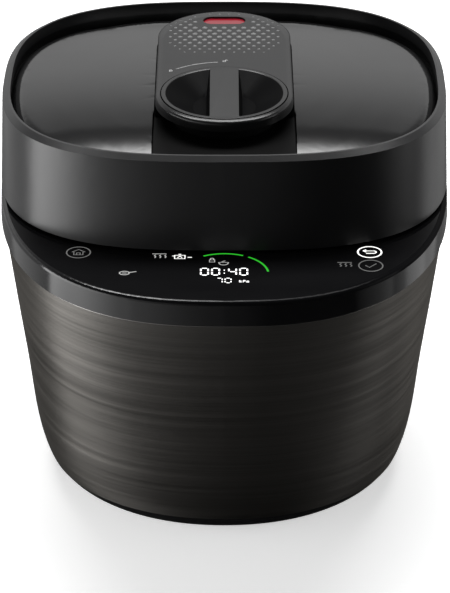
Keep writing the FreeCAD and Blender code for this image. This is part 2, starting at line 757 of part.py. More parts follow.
def hinge_spring():
    radius, turns, pitch = HINGE_SPRING
    spring = coil(radius, SPRING_WIRE_R, pitch, turns)
    spring.rotate(ORIGIN, BACKWARDS, 90)
    spring.translate(V(-pitch * turns / 2, HINGE_Y, HINGE_Z))
    return spring


def lid_hinge_arm():
    """Arm on the lid's back with the middle knuckle, hollow for the spring, and a sloped back."""
    back = HINGE_Y + KNUCKLE_R
    strap_low, strap_high = (HINGE_Z + rise for rise in ARM_STRAP)
    slope_rise, slope_run = ARM_SLOPE
    strap = box((-ARM_HALF, ARM_FRONT_Y, strap_low), (ARM_HALF, back, strap_high))
    slope = prism([V(-ARM_HALF - PAST, back + PAST, HINGE_Z + slope_rise),
                   V(-ARM_HALF - PAST, HINGE_Y - slope_run, strap_high + PAST),
                   V(-ARM_HALF - PAST, back + PAST, strap_high + PAST)], RIGHT * (2 * ARM_HALF + 2 * PAST))
    root = box((-ARM_HALF, HINGE_Y - strap_low + HINGE_Z, HINGE_Z), (ARM_HALF, back, strap_low + PAST))
    spring_r, spring_half = SPRING_ROOM
    arm = fused(hinge_rod(KNUCKLE_R, ARM_HALF), strap.cut(slope), root)
    bore = hinge_rod(PIN_R + RUNNING, ARM_HALF + PAST)
    return arm.cut([lid_outer(), bore, hinge_rod(spring_r, spring_half)])


# Lid: shell, carrier plate, domed panel, liner

def lid_outer():
    return loft([section(LID_FOOT_PLAN, LID_BOTTOM), section(LID_PLAN, RIM_EDGE)], True)


def lid_shell():
    """Raked band with a bevelled rim, whose lip overhangs a shadow gap round the panel."""
    rim = loft([section(LID_PLAN, RIM_EDGE), section(LID_PLAN, RIM_CREST, -RIM_BEVEL)], True)
    under = loft([section(LID_FOOT_PLAN, LID_BOTTOM, -SHELL_WALL),
                  section(LID_PLAN, DECK_TOP, -SHELL_WALL)], True)
    gap = loft([section(LID_PLAN, DECK_TOP - PAST, -RIM_UNDERCUT),
                section(LID_PLAN, RIM_LIP_LOW, -RIM_UNDERCUT)], True)
    mouth = loft([section(LID_PLAN, RIM_LIP_LOW - PAST, -RIM_INNER),
                  section(LID_PLAN, RIM_CREST, -RIM_INNER)], True)
    return fused(lid_outer(), rim).cut(under).cut(gap).cut(mouth)


def lid_deck():
    """Carrier plate of the lid, with the raised floor under the knob and an opening for the valves."""
    plate = slab(LID_PLAN, DECK_BOTTOM, DECK_TOP, -SHELL_WALL - CLEAR)
    floor_half = CHANNEL_HALF - CLEAR
    front = box((-floor_half, -LID_PLAN[1], DECK_TOP), (floor_half, KNOB_Y, WELL_FLOOR))
    inside_rim = slab(LID_PLAN, DECK_TOP - PAST, WELL_FLOOR + PAST, -RIM_INNER - CLEAR)
    floor = front.fuse(disc(NECK_R, DECK_TOP, WELL_FLOOR, 0, KNOB_Y)).common(inside_rim)
    length, half_width, rise = THRESHOLD
    threshold = cross_obround(2 * length, 2 * half_width, WELL_FLOOR, WELL_FLOOR + rise, THRESHOLD_Y)
    holes = [disc(SHAFT_R + RUNNING, DECK_BOTTOM - PAST, WELL_FLOOR + PAST, 0, KNOB_Y),
             obround(VALVE_OPENING, WEIGHT_Y, FLOAT_Y, DECK_BOTTOM - PAST, DECK_TOP + PAST)]
    return fused(plate, floor, threshold).cut(holes)


def rolled_quarter(sink, back):
    """Right-hand quarter of the domed top, whose edge rolls down further at the end than at the side."""
    low = DECK_TOP - END_ROLL
    y_low, y_high = (0, FAR) if back else (-FAR, 0)
    quarter = box((0, y_low, low), (FAR, y_high, RIM_CREST))
    rough = slab(LID_PLAN, low, RIM_CREST, -PANEL_INSET - sink).common(quarter)
    body = rough.common(Part.makeSphere(CROWN_R, V(0, 0, PANEL_CROWN - sink - CROWN_R)))
    edge = max([e for e in body.Edges if e.BoundBox.ZMin > DECK_TOP], key=lambda e: e.Length)
    rolls = [END_ROLL - sink if abs(end.X) < PAST else SIDE_ROLL - sink for end in edge.Vertexes]
    return body.makeFillet(*rolls, [edge])


def pillow(sink):
    """Domed top of the lid, with its edge rolled down all round."""
    right = fused(rolled_quarter(sink, True), rolled_quarter(sink, False))
    return fused(right, right.mirror(ORIGIN, RIGHT))


def lid_panel():
    channel = box((-CHANNEL_HALF, -FAR, 0), (CHANNEL_HALF, KNOB_Y, RIM_CREST))
    seat = obround(BRIDGE_R + CLEAR, KNOB_Y, BRIDGE_BACK_Y, DECK_TOP - PAST, RIM_CREST)
    under_deck = box((-FAR, -FAR, 0), (FAR, FAR, DECK_TOP))
    return pillow(0.0).cut(under_deck).cut(pillow(PLATE)).cut(channel).cut(seat)


def lid_liner():
    top = LINER_LOW + LINER_THICK
    plate = slab(LID_FOOT_PLAN, LINER_LOW, top, -LINER_INSET)
    posts = [disc(LINER_POST_R, top - CLEAR, DECK_BOTTOM, x, y) for x, y in LINER_POSTS]
    holes = [disc(RING_OUTER_R + SHELL_WALL, LINER_LOW - PAST, top + PAST)]
    for x, y in LINER_POSTS:
        holes.append(disc(LINER_SINK_R, LINER_LOW - PAST, LINER_LOW + LINER_SINK, x, y))
        holes.append(disc(SCREW_R + RUNNING, LINER_LOW - PAST, LINER_SCREW_TOP + PAST, x, y))
    return fused(plate, *posts).cut(holes)


def liner_screws():
    screws = []
    seat = LINER_LOW + LINER_SINK
    for x, y in LINER_POSTS:
        head = disc(SCREW_HEAD_R, seat - SCREW_HEAD_HIGH, seat, x, y)
        screws.append(fused(head, disc(SCREW_R, seat, LINER_SCREW_TOP, x, y)))
    return Part.Compound(screws)


# Bridge over the lid, with its steam grille and the seat of the knob

def bridge_body(shrink):
    """Long rounded block with a rolled top edge, whose back end slopes away."""
    half, top = BRIDGE_R - shrink, BRIDGE_TOP - shrink
    base = obround(half, KNOB_Y, BRIDGE_BACK_Y, DECK_TOP, top - BRIDGE_EDGE)
    wires = [slot_outline(half - narrow, KNOB_Y, BRIDGE_BACK_Y - forward, top - drop)
             for drop, narrow, forward in BRIDGE_ROLL]
    return fused(base, loft(wires))


def grille_places():
    """Centres and radii of a staggered hole field that fades towards the knob and the sides."""
    places = []
    fade_start, fade_front, fade_side = GRILLE_FADE
    for row in range(GRILLE_ROWS):
        y = GRILLE_FRONT_Y + row * GRILLE_ROW
        for column in range(-GRILLE_COLUMNS, GRILLE_COLUMNS + 1):
            x = (column + 0.5 * (row % 2)) * GRILLE_PITCH
            from_edge = BRIDGE_R - math.hypot(x, max(0.0, y - BRIDGE_BACK_Y + GRILLE_EDGE))
            beside_slot = abs(x) > FLOAT_SLOT[0] / 2 + GRILLE_MARGIN
            clear_of_slot = beside_slot or abs(y - FLOAT_Y) > FLOAT_SLOT[1] / 2 + GRILLE_MARGIN
            along = min(1.0, (y - GRILLE_FRONT_Y + fade_start) / fade_front)
            across = max(0.0, min(1.0, from_edge / fade_side))
            radius = HOLE_R * math.sqrt(along * across)
            if from_edge > GRILLE_EDGE and clear_of_slot and radius > LEAST_HOLE_R:
                places.append((x, y, radius))
    return places


def lid_bridge():
    edge_low = BRIDGE_TOP - BRIDGE_EDGE
    seat_r = KNOB_R + SEAT_GAP
    ahead = box((-FAR, -FAR, 0), (FAR, KNOB_Y, edge_low))
    before_knob = box((-FAR, -FAR, edge_low), (FAR, KNOB_Y, BRIDGE_TOP + PAST))
    whole = bridge_body(0.0)
    front_wall = whole.common(before_knob)
    seat_wall = tube(seat_r + SEAT_WALL, seat_r, DECK_TOP, BRIDGE_TOP - PLATE, 0, KNOB_Y).cut(ahead)
    seat_floor = tube(BRIDGE_R, NECK_R - NECK_WALL, edge_low, edge_low + PLATE, 0, KNOB_Y)
    mouth = obround(BRIDGE_R - PLATE, KNOB_Y, BRIDGE_BACK_Y, DECK_TOP - PAST, DECK_TOP)
    room = bridge_body(PLATE).fuse(mouth)
    shell = fused(whole.cut([ahead, room]), front_wall, seat_wall, seat_floor)
    slot = cross_obround(*FLOAT_SLOT, BRIDGE_TOP - BRIDGE_EDGE, BRIDGE_TOP + PAST, FLOAT_Y)
    holes = [disc(r, BRIDGE_TOP - BRIDGE_EDGE, BRIDGE_TOP + PAST, x, y) for x, y, r in grille_places()]
    knob_seat = disc(seat_r, edge_low + PLATE, BRIDGE_TOP + PAST, 0, KNOB_Y)
    bore = disc(NECK_R - NECK_WALL, DECK_TOP - PAST, BRIDGE_TOP, 0, KNOB_Y)
    return shell.cut([slot, knob_seat, bore, *holes])


def knob_sleeve():
    """Round sleeve on the deck that the front of the bridge stands on, around the knob's bowl."""
    return tube(NECK_R, NECK_R - NECK_WALL, WELL_FLOOR, BRIDGE_TOP - BRIDGE_EDGE, 0, KNOB_Y)


# Knob and what it drives

def lock_knob():
    """Dish-shaped knob with a straight grip bar across it, front to back."""
    body = fused(disc(KNOB_R, KNOB_FLANGE_LOW, KNOB_TOP, 0, KNOB_Y),
                 disc(BOWL_R, BOWL_LOW, KNOB_FLANGE_LOW, 0, KNOB_Y))
    body = body.makeFillet(KNOB_EDGE, [e for e in body.Edges if e.BoundBox.ZMin > KNOB_TOP - KNOB_EDGE])
    ball_r = (SCOOP_R ** 2 + SCOOP_DEPTH ** 2) / (2 * SCOOP_DEPTH)
    dish = Part.makeSphere(ball_r, V(0, KNOB_Y, KNOB_TOP - SCOOP_DEPTH + ball_r))
    half, foot, start = GRIP_WIDTH / 2, GRIP_WIDTH / 2 + GRIP_DRAFT, KNOB_Y - KNOB_R
    bar = prism([V(-foot, start, BOWL_LOW), V(foot, start, BOWL_LOW), V(half, start, KNOB_TOP + PAST),
                 V(-half, start, KNOB_TOP + PAST)], BACKWARDS * (2 * KNOB_R))
    socket = disc(SHAFT_R, BOWL_LOW - PAST, BOWL_LOW + SHAFT_SOCKET, 0, KNOB_Y)
    return body.cut([dish.cut(bar), socket])


def knob_shaft():
    gear_top = GEAR_Z + GEAR_THICK
    return fused(disc(SHAFT_R, gear_top, BOWL_LOW + SHAFT_SOCKET, 0, KNOB_Y),
                 disc(SHAFT_LOW_R, GEAR_Z - SHAFT_END, gear_top, 0, KNOB_Y))


def gear_flank(teeth, radius, thin):
    """Half angle that an involute tooth spans at a radius, thinned by thin at the pitch line."""
    pitch_r = MODULE * teeth / 2
    base_r = pitch_r * math.cos(PRESSURE_ANGLE)

    def involute(angle):
        return math.tan(angle) - angle

    here = math.acos(min(1.0, base_r / max(radius, base_r)))
    half_at_pitch = math.pi / (2 * teeth) - thin / (2 * pitch_r)
    return half_at_pitch + involute(PRESSURE_ANGLE) - involute(here)


def gear_face(teeth, root_r, tip_r, thin, z):
    """Toothed outline of an external gear, with one tooth pointing to the front."""
    points = []
    radii = [root_r + (tip_r - root_r) * n / FLANK_STEPS for n in range(FLANK_STEPS + 1)]
    for tooth in range(teeth):
        middle = 2 * math.pi * tooth / teeth - math.pi / 2
        for side, order in ((-1, radii), (1, radii[::-1])):
            for r in order:
                turn = middle + side * gear_flank(teeth, r, thin)
                points.append(V(r * math.cos(turn), r * math.sin(turn), z))
    return Part.Face(Part.makePolygon(points + points[:1]))


def drive_pinion():
    depth, height = PINION_TOOTH
    face = gear_face(PINION_TEETH, PITCH_PINION - depth, PITCH_PINION + height, BACKLASH, GEAR_Z)
    gear = face.extrude(UP * GEAR_THICK)
    gear.translate(V(0, KNOB_Y, 0))
    return gear.cut(disc(SHAFT_LOW_R + PRESSED, GEAR_Z - PAST, GEAR_Z + GEAR_THICK + PAST, 0, KNOB_Y))


def pinion_screw():
    radius, thick = PINION_SCREW
    return disc(radius, GEAR_Z - SHAFT_END - thick, GEAR_Z - SHAFT_END, 0, KNOB_Y)


def lock_ring():
    """Bayonet ring: its inward lugs pass between the lugs of the pressure shell and turn under them."""
    shelf_low = RING_TOP - RING_SHELF_THICK
    ring = revolve([(RING_INNER_R, RING_BOTTOM), (RING_OUTER_R, RING_BOTTOM), (RING_OUTER_R, RING_TOP),
                    (RING_SHELF_R, RING_TOP), (RING_SHELF_R, shelf_low), (RING_INNER_R, shelf_low)])
    lug_high = RING_BOTTOM + RING_SHELF_THICK
    lug = ring_sector(RING_LUG_R, RING_INNER_R + LUG_ROOT, RING_BOTTOM, lug_high, 0, RING_LUG_DEG)
    return fused(ring, *spread(lug, LUG_COUNT, 180.0 / LUG_COUNT))


def drive_sector():
    """Toothed plate on the ring's front, with inward teeth around the pinion."""
    top = GEAR_Z + GEAR_THICK
    inner, outer = PITCH_RING - SECTOR_INNER, RING_OUTER_R - SECTOR_OUTER
    window_deg = 2 * (SECTOR_HALF_DEG - SECTOR_END_DEG)
    plate = ring_sector(inner, outer, GEAR_Z, top, -90, 2 * SECTOR_HALF_DEG)
    window = ring_sector(*SECTOR_WINDOW, GEAR_Z - PAST, top + PAST, -90, window_deg)
    depth, height = RING_TOOTH
    spaces = gear_face(RING_TEETH, PITCH_RING - depth, PITCH_RING + height, -BACKLASH, GEAR_Z - PAST)
    return plate.cut([spaces.extrude(UP * (GEAR_THICK + 2 * PAST)), window])


# Under the lid: pressure lid, inner lid with its seal, valves

def pressure_lid():
    inner, outer, low, high = DISC_FLANGE
    dish = revolve([(0, DISC_LOW), (DISC_R, DISC_LOW), (inner, low), (outer, low), (outer, high),
                    (inner + DISC_BEND, high), (DISC_R + DISC_BEND, DISC_HIGH), (0, DISC_HIGH)])
    holes = [disc(FLOAT_STEM_R + FLOAT_STEM_GAP, DISC_LOW - PAST, DISC_HIGH + PAST, 0, FLOAT_Y),
             disc(VENT_BORE_R, DISC_LOW - PAST, DISC_HIGH + PAST, 0, WEIGHT_Y)]
    return dish.cut(holes)


def lid_posts():
    return Part.Compound([disc(LID_POST_R, DISC_HIGH, DECK_BOTTOM, x, y) for x, y in LID_POSTS])


def ring_guides():
    top = RING_TOP - RING_SHELF_THICK - GUIDE_GAP
    guide = ring_sector(*GUIDE_R, DISC_FLANGE[3], top, 0, GUIDE_DEG)
    return Part.Compound(spread(guide, GUIDE_COUNT, 180.0 / GUIDE_COUNT))


def inner_lid():
    low, high = INNER_FLANGE
    inner, outer = INNER_FLANGE_R
    top = INNER_LID_Z + INNER_LID_THICK
    dish = revolve([(0, INNER_LID_Z), (INNER_LID_R, INNER_LID_Z), (inner, low), (outer, low), (outer, high),
                    (inner + INNER_BEND, high), (INNER_LID_R + INNER_BEND, top), (0, top)])
    holes = [disc(FLOAT_STEM_R + FLOAT_STEM_GAP, low, top + PAST, 0, FLOAT_Y),
             disc(NUT_STEM_R + 2 * RUNNING, low, top + PAST),
             disc(VENT_HOLE_R, low, top + PAST, 0, WEIGHT_Y)]
    return dish.cut(holes)


def sealing_ring():
    """Silicone ring gripped by the rim of the inner lid, with a lip down to the pot's rim."""
    low, high = INNER_FLANGE
    inner, outer = SEAL_R
    held = INNER_FLANGE_R[1]
    return revolve([(inner + SEAL_SOFT, SEAL_LOW), (outer - SEAL_SOFT, SEAL_LOW),
                    (outer, SEAL_LOW + SEAL_SOFT), (outer, SEAL_HIGH - SEAL_SOFT),
                    (outer - SEAL_SOFT, SEAL_HIGH), (SEAL_GRIP_R, SEAL_HIGH), (SEAL_GRIP_R, high),
                    (held, high), (held, low), (inner, low), (inner, SEAL_LOW + SEAL_SOFT)])


def inner_lid_nut():
    soft_wide, soft_high = NUT_SOFT
    return revolve([(0, NUT_LOW), (NUT_R - soft_wide, NUT_LOW), (NUT_R, NUT_LOW + soft_high),
                    (NUT_R, INNER_LID_Z), (NUT_STEM_R, INNER_LID_Z), (NUT_STEM_R, DISC_LOW), (0, DISC_LOW)])


def filter_cap():
    floor = CAP_LOW + CAP_WALL
    cap = disc(CAP_R, CAP_LOW, INNER_LID_Z, 0, WEIGHT_Y)
    holes = [disc(CAP_R - CAP_WALL, floor, INNER_LID_Z + PAST, 0, WEIGHT_Y),
             disc(CAP_HOLE_R, CAP_LOW - PAST, floor + PAST, 0, WEIGHT_Y)]
    for hole in range(CAP_HOLES):
        x, y = at_angle(CAP_HOLE_RADIUS, 360.0 * hole / CAP_HOLES)
        holes.append(disc(CAP_HOLE_R, CAP_LOW - PAST, floor + PAST, x, WEIGHT_Y + y))
    return cap.cut(holes)


def vent_pipe():
    return tube(VENT_R, VENT_BORE_R, DISC_HIGH, VENT_TOP, 0, WEIGHT_Y)


def limiter_weight():
    body = disc(WEIGHT_R, DISC_HIGH + WEIGHT_LIFT_GAP, WEIGHT_TOP, 0, WEIGHT_Y)
    body = body.makeFillet(WEIGHT_SOFT, [e for e in body.Edges if e.BoundBox.ZMin > WEIGHT_TOP - PAST])
    return body.cut(disc(WEIGHT_BORE_R, DISC_HIGH, VENT_TOP + CLEAR, 0, WEIGHT_Y))


def release_solenoid():
    (x0, y0), (x1, y1), tall = SOLENOID
    yoke = block(((x0, y0), (x1, y1)), DISC_HIGH, DISC_HIGH + tall)
    window = ((x0 - PAST, y0 + SOLENOID_WALL), (x1 + PAST, y1 - SOLENOID_WALL))
    room = block(window, DISC_HIGH + SOLENOID_WALL, DISC_HIGH + tall - SOLENOID_WALL)
    middle = V((x0 + x1) / 2, y0 + SOLENOID_WALL, DISC_HIGH + tall / 2)
    winding = Part.makeCylinder(WINDING_R, y1 - y0 - 2 * SOLENOID_WALL, middle, BACKWARDS)
    return fused(yoke.cut(room), winding)


def float_guide():
    return tube(FLOAT_GUIDE_R, FLOAT_STEM_R + RUNNING, DISC_HIGH, FLOAT_GUIDE_TOP, 0, FLOAT_Y)


def float_indicator():
    length, width = (side - 2 * FLOAT_HEAD_GAP for side in FLOAT_SLOT)
    head = cross_obround(length, width, *FLOAT_HEAD, FLOAT_Y)
    return fused(head, disc(FLOAT_STEM_R, FLOAT_SEAL[2], FLOAT_HEAD[0] + PAST, 0, FLOAT_Y))


def float_seal():
    radius, low, high = FLOAT_SEAL
    return disc(radius, low, high, 0, FLOAT_Y)


PIECES = [
    base_tray, rubber_feet, support_legs, base_screws,
    body_wrap, collar, control_panel, display_module, display_board, power_board,
    power_inlet, inlet_pins,
    outer_pot, heating_plate, heater_tube, sensor_cup, sensor_plunger, sensor_spring, inner_pot,
    hinge_housing, hinge_pin, hinge_spring, lid_hinge_arm,
    lid_shell, lid_deck, lid_panel, lid_liner, liner_screws,
    lid_bridge, knob_sleeve, lock_knob, knob_shaft, drive_pinion, pinion_screw, lock_ring, drive_sector,
    pressure_lid, lid_posts, ring_guides, inner_lid, sealing_ring, inner_lid_nut, filter_cap,
    vent_pipe, limiter_weight, release_solenoid, float_guide, float_indicator, float_seal,
]

os.makedirs("parts", exist_ok=True)
for piece in PIECES:
    shape = piece()
    shape.translate(V(0, POT_Y, 0))
    if not shape.isValid() or shape.Volume <= 0:
        print("check", piece.__name__, shape.isValid(), round(shape.Volume))
    shape.exportStep(f"parts/{piece.__name__}.step")
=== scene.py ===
import json
import math

import bpy
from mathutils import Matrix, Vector

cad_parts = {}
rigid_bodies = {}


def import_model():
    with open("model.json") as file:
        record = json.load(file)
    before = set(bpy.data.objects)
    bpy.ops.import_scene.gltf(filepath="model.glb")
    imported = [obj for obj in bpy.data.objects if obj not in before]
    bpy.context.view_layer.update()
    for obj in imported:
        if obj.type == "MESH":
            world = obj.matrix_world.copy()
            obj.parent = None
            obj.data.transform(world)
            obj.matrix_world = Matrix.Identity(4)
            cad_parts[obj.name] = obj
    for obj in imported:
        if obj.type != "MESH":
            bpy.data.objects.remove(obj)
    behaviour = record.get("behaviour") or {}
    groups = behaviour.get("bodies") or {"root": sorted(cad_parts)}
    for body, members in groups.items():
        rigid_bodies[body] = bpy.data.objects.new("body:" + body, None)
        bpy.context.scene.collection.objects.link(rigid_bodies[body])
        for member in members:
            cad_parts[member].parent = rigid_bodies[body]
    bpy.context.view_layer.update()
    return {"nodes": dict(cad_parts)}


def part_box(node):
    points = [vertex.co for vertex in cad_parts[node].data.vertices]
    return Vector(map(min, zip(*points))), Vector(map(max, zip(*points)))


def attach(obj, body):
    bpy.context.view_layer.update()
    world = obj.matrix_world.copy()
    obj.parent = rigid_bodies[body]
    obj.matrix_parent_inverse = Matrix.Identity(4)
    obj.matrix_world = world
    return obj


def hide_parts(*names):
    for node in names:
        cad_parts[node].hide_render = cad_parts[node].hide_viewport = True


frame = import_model()

# Base tray: the shallow black tray that the cooker stands on, with vents in its floor.
# Injection-moulded polypropylene with a fine eroded grain, screwed to the stands from below.


class Finish:
    """A socket among a material's nodes. Arithmetic on it adds Math nodes."""

    def __init__(self, tree, socket=None):
        self.tree = tree
        self.socket = socket

    def make(self, kind, settings, inputs, output=0):
        """A node of this kind, its settings set first, then its sockets' values or links."""
        node = self.tree.nodes.new(kind)
        for name, value in settings.items():
            setattr(node, name, value)
        for name, value in inputs.items():
            if isinstance(value, Finish):
                self.tree.links.new(value.socket, node.inputs[name])
            else:
                node.inputs[name].default_value = value
        return Finish(self.tree, node.outputs[output])

    def maths(self, operation, *values):
        return self.make("ShaderNodeMath", {"operation": operation}, dict(enumerate(values)))

    def __add__(self, other):
        return self.maths("ADD", self, other)

    def __radd__(self, other):
        return self.maths("ADD", other, self)

    def __sub__(self, other):
        return self.maths("SUBTRACT", self, other)

    def __rsub__(self, other):
        return self.maths("SUBTRACT", other, self)

    def __mul__(self, other):
        return self.maths("MULTIPLY", self, other)

    def __rmul__(self, other):
        return self.maths("MULTIPLY", other, self)


def surface(name, **sockets):
    """A material, the start of its nodes and its shader, with the sockets that are even all over set."""
    material = bpy.data.materials.new(name)
    material.use_nodes = True
    shader = material.node_tree.nodes["Principled BSDF"]
    for socket, value in sockets.items():
        shader.inputs[socket.replace("_", " ")].default_value = value
    return material, Finish(material.node_tree), shader


def feed(finish, shader, socket):
    """Links a varying value into one of the shader's sockets."""
    finish.tree.links.new(finish.socket, shader.inputs[socket])


def noise(start, cells, detail=2.0):
    """Noise over the piece, with this many cells per metre along X, Y and Z."""
    place = start.make("ShaderNodeTexCoord", {}, {}, "Object")
    cell = start.make("ShaderNodeMapping", {}, {"Vector": place, "Scale": cells})
    return start.make("ShaderNodeTexNoise", {}, {"Vector": cell, "Scale": 1.0, "Detail": detail}, "Fac")


def tone(start, share, shade, spread):
    """Colour between a darker and a lighter tone of a shade."""
    dark = (*[part * (1 - spread) for part in shade], 1)
    light = (*[part * (1 + spread) for part in shade], 1)
    blend = {"Factor": share, "A": dark, "B": light}
    return start.make("ShaderNodeMix", {"data_type": "RGBA"}, blend, "Result")


def relief(start, shader, height, strength, depth):
    """Fine relief of the surface, depth metres deep."""
    bump = {"Strength": strength, "Distance": depth, "Height": height}
    feed(start.make("ShaderNodeBump", {}, bump, "Normal"), shader, "Normal")


def grained_plastic(name, shade, roughness, grain, strength):
    """Moulded plastic whose eroded grain breaks up the gloss."""
    material, start, shader = surface(name)
    fine = noise(start, [1 / grain] * 3)
    broad = noise(start, [28.0] * 3, 3.0)
    feed(tone(start, broad, shade, 0.15), shader, "Base Color")
    feed(roughness + (fine - 0.5) * 0.08 + (broad - 0.5) * 0.06, shader, "Roughness")
    relief(start, shader, fine, strength, grain * 0.4)
    return material


def wear(material, *nodes):
    """Gives CAD nodes this material."""
    for node in nodes:
        slots = frame["nodes"][node].data.materials
        slots.clear()
        slots.append(material)


satin_black = grained_plastic("satin_black", (0.0075, 0.0075, 0.008), 0.38, 0.0006, 0.12)
wear(satin_black, "base_tray")

# Feet: four round pads of rubber, glued into the underside of the tray.
# Matt and slightly dusty, so that they grip the worktop.

wear(grained_plastic("foot_rubber", (0.012, 0.012, 0.012), 0.8, 0.0004, 0.3), "rubber_feet")

# Stands and screws: three posts of glass-filled plastic that hold up the pressure shell.
# Each is pulled to the tray by a zinc-plated screw from below.


def drawn_metal(name, shade, roughness, cells):
    """Bare metal with the fine marks of the tool that made it."""
    material, start, shader = surface(name, Metallic=1.0)
    marks = noise(start, cells, 3.0)
    cloud = noise(start, [45.0] * 3)
    feed(tone(start, marks * 0.6 + cloud * 0.4, shade, 0.25), shader, "Base Color")
    feed(roughness + (marks - 0.5) * 0.16, shader, "Roughness")
    relief(start, shader, marks, 0.08, 0.0002)
    return material


filled_plastic = grained_plastic("filled_plastic", (0.03, 0.03, 0.031), 0.55, 0.0012, 0.2)
plated_steel = drawn_metal("plated_steel", (0.52, 0.52, 0.53), 0.32, (900.0, 900.0, 60.0))
wear(filled_plastic, "support_legs")
wear(plated_steel, "base_screws")

# Steel wrap: the raked outer skin, rolled from dark stainless sheet and brushed level all round.
# Its top edge is turned over into a thin bright bead under the collar.

WRAP_SHADE = (0.19, 0.182, 0.170)
BEAD_DROP = 0.0014
BEAD_R = 0.0006

material, start, shader = surface("dark_brushed_steel", Metallic=1.0, Anisotropic=0.85,
                                  Anisotropic_Rotation=0.25, Specular_Tint=(0.4, 0.39, 0.38, 1))
hairline = noise(start, (10.0, 10.0, 1500.0), 3.0)
streak = noise(start, (4.0, 4.0, 240.0), 4.0)
feed(tone(start, hairline * 0.45 + streak * 0.55, WRAP_SHADE, 0.5), shader, "Base Color")
feed(0.42 + (streak - 0.5) * 0.2, shader, "Roughness")
relief(start, shader, hairline, 0.12, 0.0002)
wear(material, "body_wrap")


def merged_copy(name, node):
    """Copy of a CAD node's mesh with its corners joined, open in edit mode with all of it selected."""
    piece = bpy.data.objects.new(name, frame["nodes"][node].data.copy())
    bpy.context.collection.objects.link(piece)
    bpy.ops.object.select_all(action="DESELECT")
    piece.select_set(True)
    bpy.context.view_layer.objects.active = piece
    bpy.ops.object.mode_set(mode="EDIT")
    bpy.ops.mesh.select_all(action="SELECT")
    bpy.ops.mesh.remove_doubles(threshold=1e-6)
    bpy.ops.mesh.customdata_custom_splitnormals_clear()
    return piece


bead = merged_copy("wrap_bead", "body_wrap")
bead_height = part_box("body_wrap")[1].z - BEAD_DROP
bpy.ops.mesh.bisect(plane_co=(0, 0, bead_height), plane_no=(0, 0, 1), clear_inner=True, clear_outer=True)
bpy.ops.mesh.select_all(action="DESELECT")
bpy.ops.object.mode_set(mode="OBJECT")
min(bead.data.vertices, key=lambda corner: corner.co.y).select = True
bpy.ops.object.mode_set(mode="EDIT")
bpy.ops.mesh.select_linked()
bpy.ops.mesh.select_all(action="INVERT")
bpy.ops.mesh.delete(type="VERT")
bpy.ops.object.mode_set(mode="OBJECT")
bpy.ops.object.convert(target="CURVE")
bead.data.bevel_depth = BEAD_R
bead.data.bevel_resolution = 2
bpy.ops.object.convert(target="MESH")
bpy.ops.object.shade_smooth()
bead.data.materials.clear()
bead.data.materials.append(drawn_metal("bead_steel", (0.26, 0.25, 0.24), 0.25, (20.0, 20.0, 1200.0)))
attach(bead, "base")

# Collar: the black moulding that carries the ledge and holds the round well for the lock ring.
# High-gloss ABS, clipped down over the steel wrap.


def gloss_plastic(name, shade, roughness, haze):
    """Polished moulding with faint wipe marks and a slight waviness."""
    material, start, shader = surface(name)
    wipes = noise(start, (16.0, 60.0, 16.0), 3.0)
    ripple = noise(start, [60.0] * 3, 1.0)
    feed(tone(start, wipes, shade, 0.15), shader, "Base Color")
    feed(roughness + (wipes - 0.45) * haze, shader, "Roughness")
    relief(start, shader, ripple, 0.03, 0.0004)
    return material


def dulled(material, shade, share):
    """Lays a dull finish over a share of a material, from 0 for none to 1 for all."""
    start = Finish(material.node_tree)
    glossy = Finish(material.node_tree, material.node_tree.nodes["Principled BSDF"].outputs[0])
    dull = start.make("ShaderNodeBsdfDiffuse", {}, {"Color": shade})
    both = start.make("ShaderNodeMixShader", {}, {0: share, 1: glossy, 2: dull})
    feed(both, material.node_tree.nodes["Material Output"], "Surface")
    return material


def stepped(start, value, low, high, at_low=0.0, at_high=1.0):
    """Soft step of a value from one level to another."""
    steps = {"Value": value, "From Min": low, "From Max": high, "To Min": at_low, "To Max": at_high}
    return start.make("ShaderNodeMapRange", {"interpolation_type": "SMOOTHSTEP"}, steps, "Result")


def part_of(start, vector, axis):
    """One of the three parts of a vector."""
    return start.make("ShaderNodeSeparateXYZ", {}, {"Vector": vector}, axis)


COLLAR_SHADE = (0.005, 0.005, 0.0055)
collar_gloss = gloss_plastic("collar_gloss", COLLAR_SHADE, 0.14, 0.06)
start = Finish(collar_gloss.node_tree)
upright = part_of(start, start.make("ShaderNodeNewGeometry", {}, {}, "Normal"), "Z")
across = part_of(start, start.make("ShaderNodeTexCoord", {}, {}, "Object"), "X")
edge = stepped(start, upright, 0.08, 0.25) * stepped(start, across, -0.1, 0.05, 0.2, 0.93)
wear(dulled(collar_gloss, (*COLLAR_SHADE, 1), edge), "collar")

# Touch panel: a smoked acrylic plate let into the ledge, printed from behind.
# The keys and the display shine through it as thin light lines.

wear(gloss_plastic("smoked_acrylic", (0.006, 0.006, 0.0065), 0.12, 0.1), "control_panel")

pot_low, pot_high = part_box("inner_pot")
AXIS_Y = (pot_low.y + pot_high.y) / 2
PANEL_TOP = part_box("control_panel")[1].z
PRINT_RISE = 0.00005
LINE = 0.0009
KEY_R = 0.0083
KEY_STEPS = 48


def on_panel(x, y):
    """Point on the touch panel, from the pot's axis."""
    return Vector((x, AXIS_Y + y, PANEL_TOP))


def arc(middle, radius, first, last, steps):
    """Points along an arc in plan, angles in degrees from +X."""
    turns = [math.radians(first + (last - first) * step / steps) for step in range(steps + 1)]
    return [middle + radius * Vector((math.cos(turn), math.sin(turn), 0)) for turn in turns]


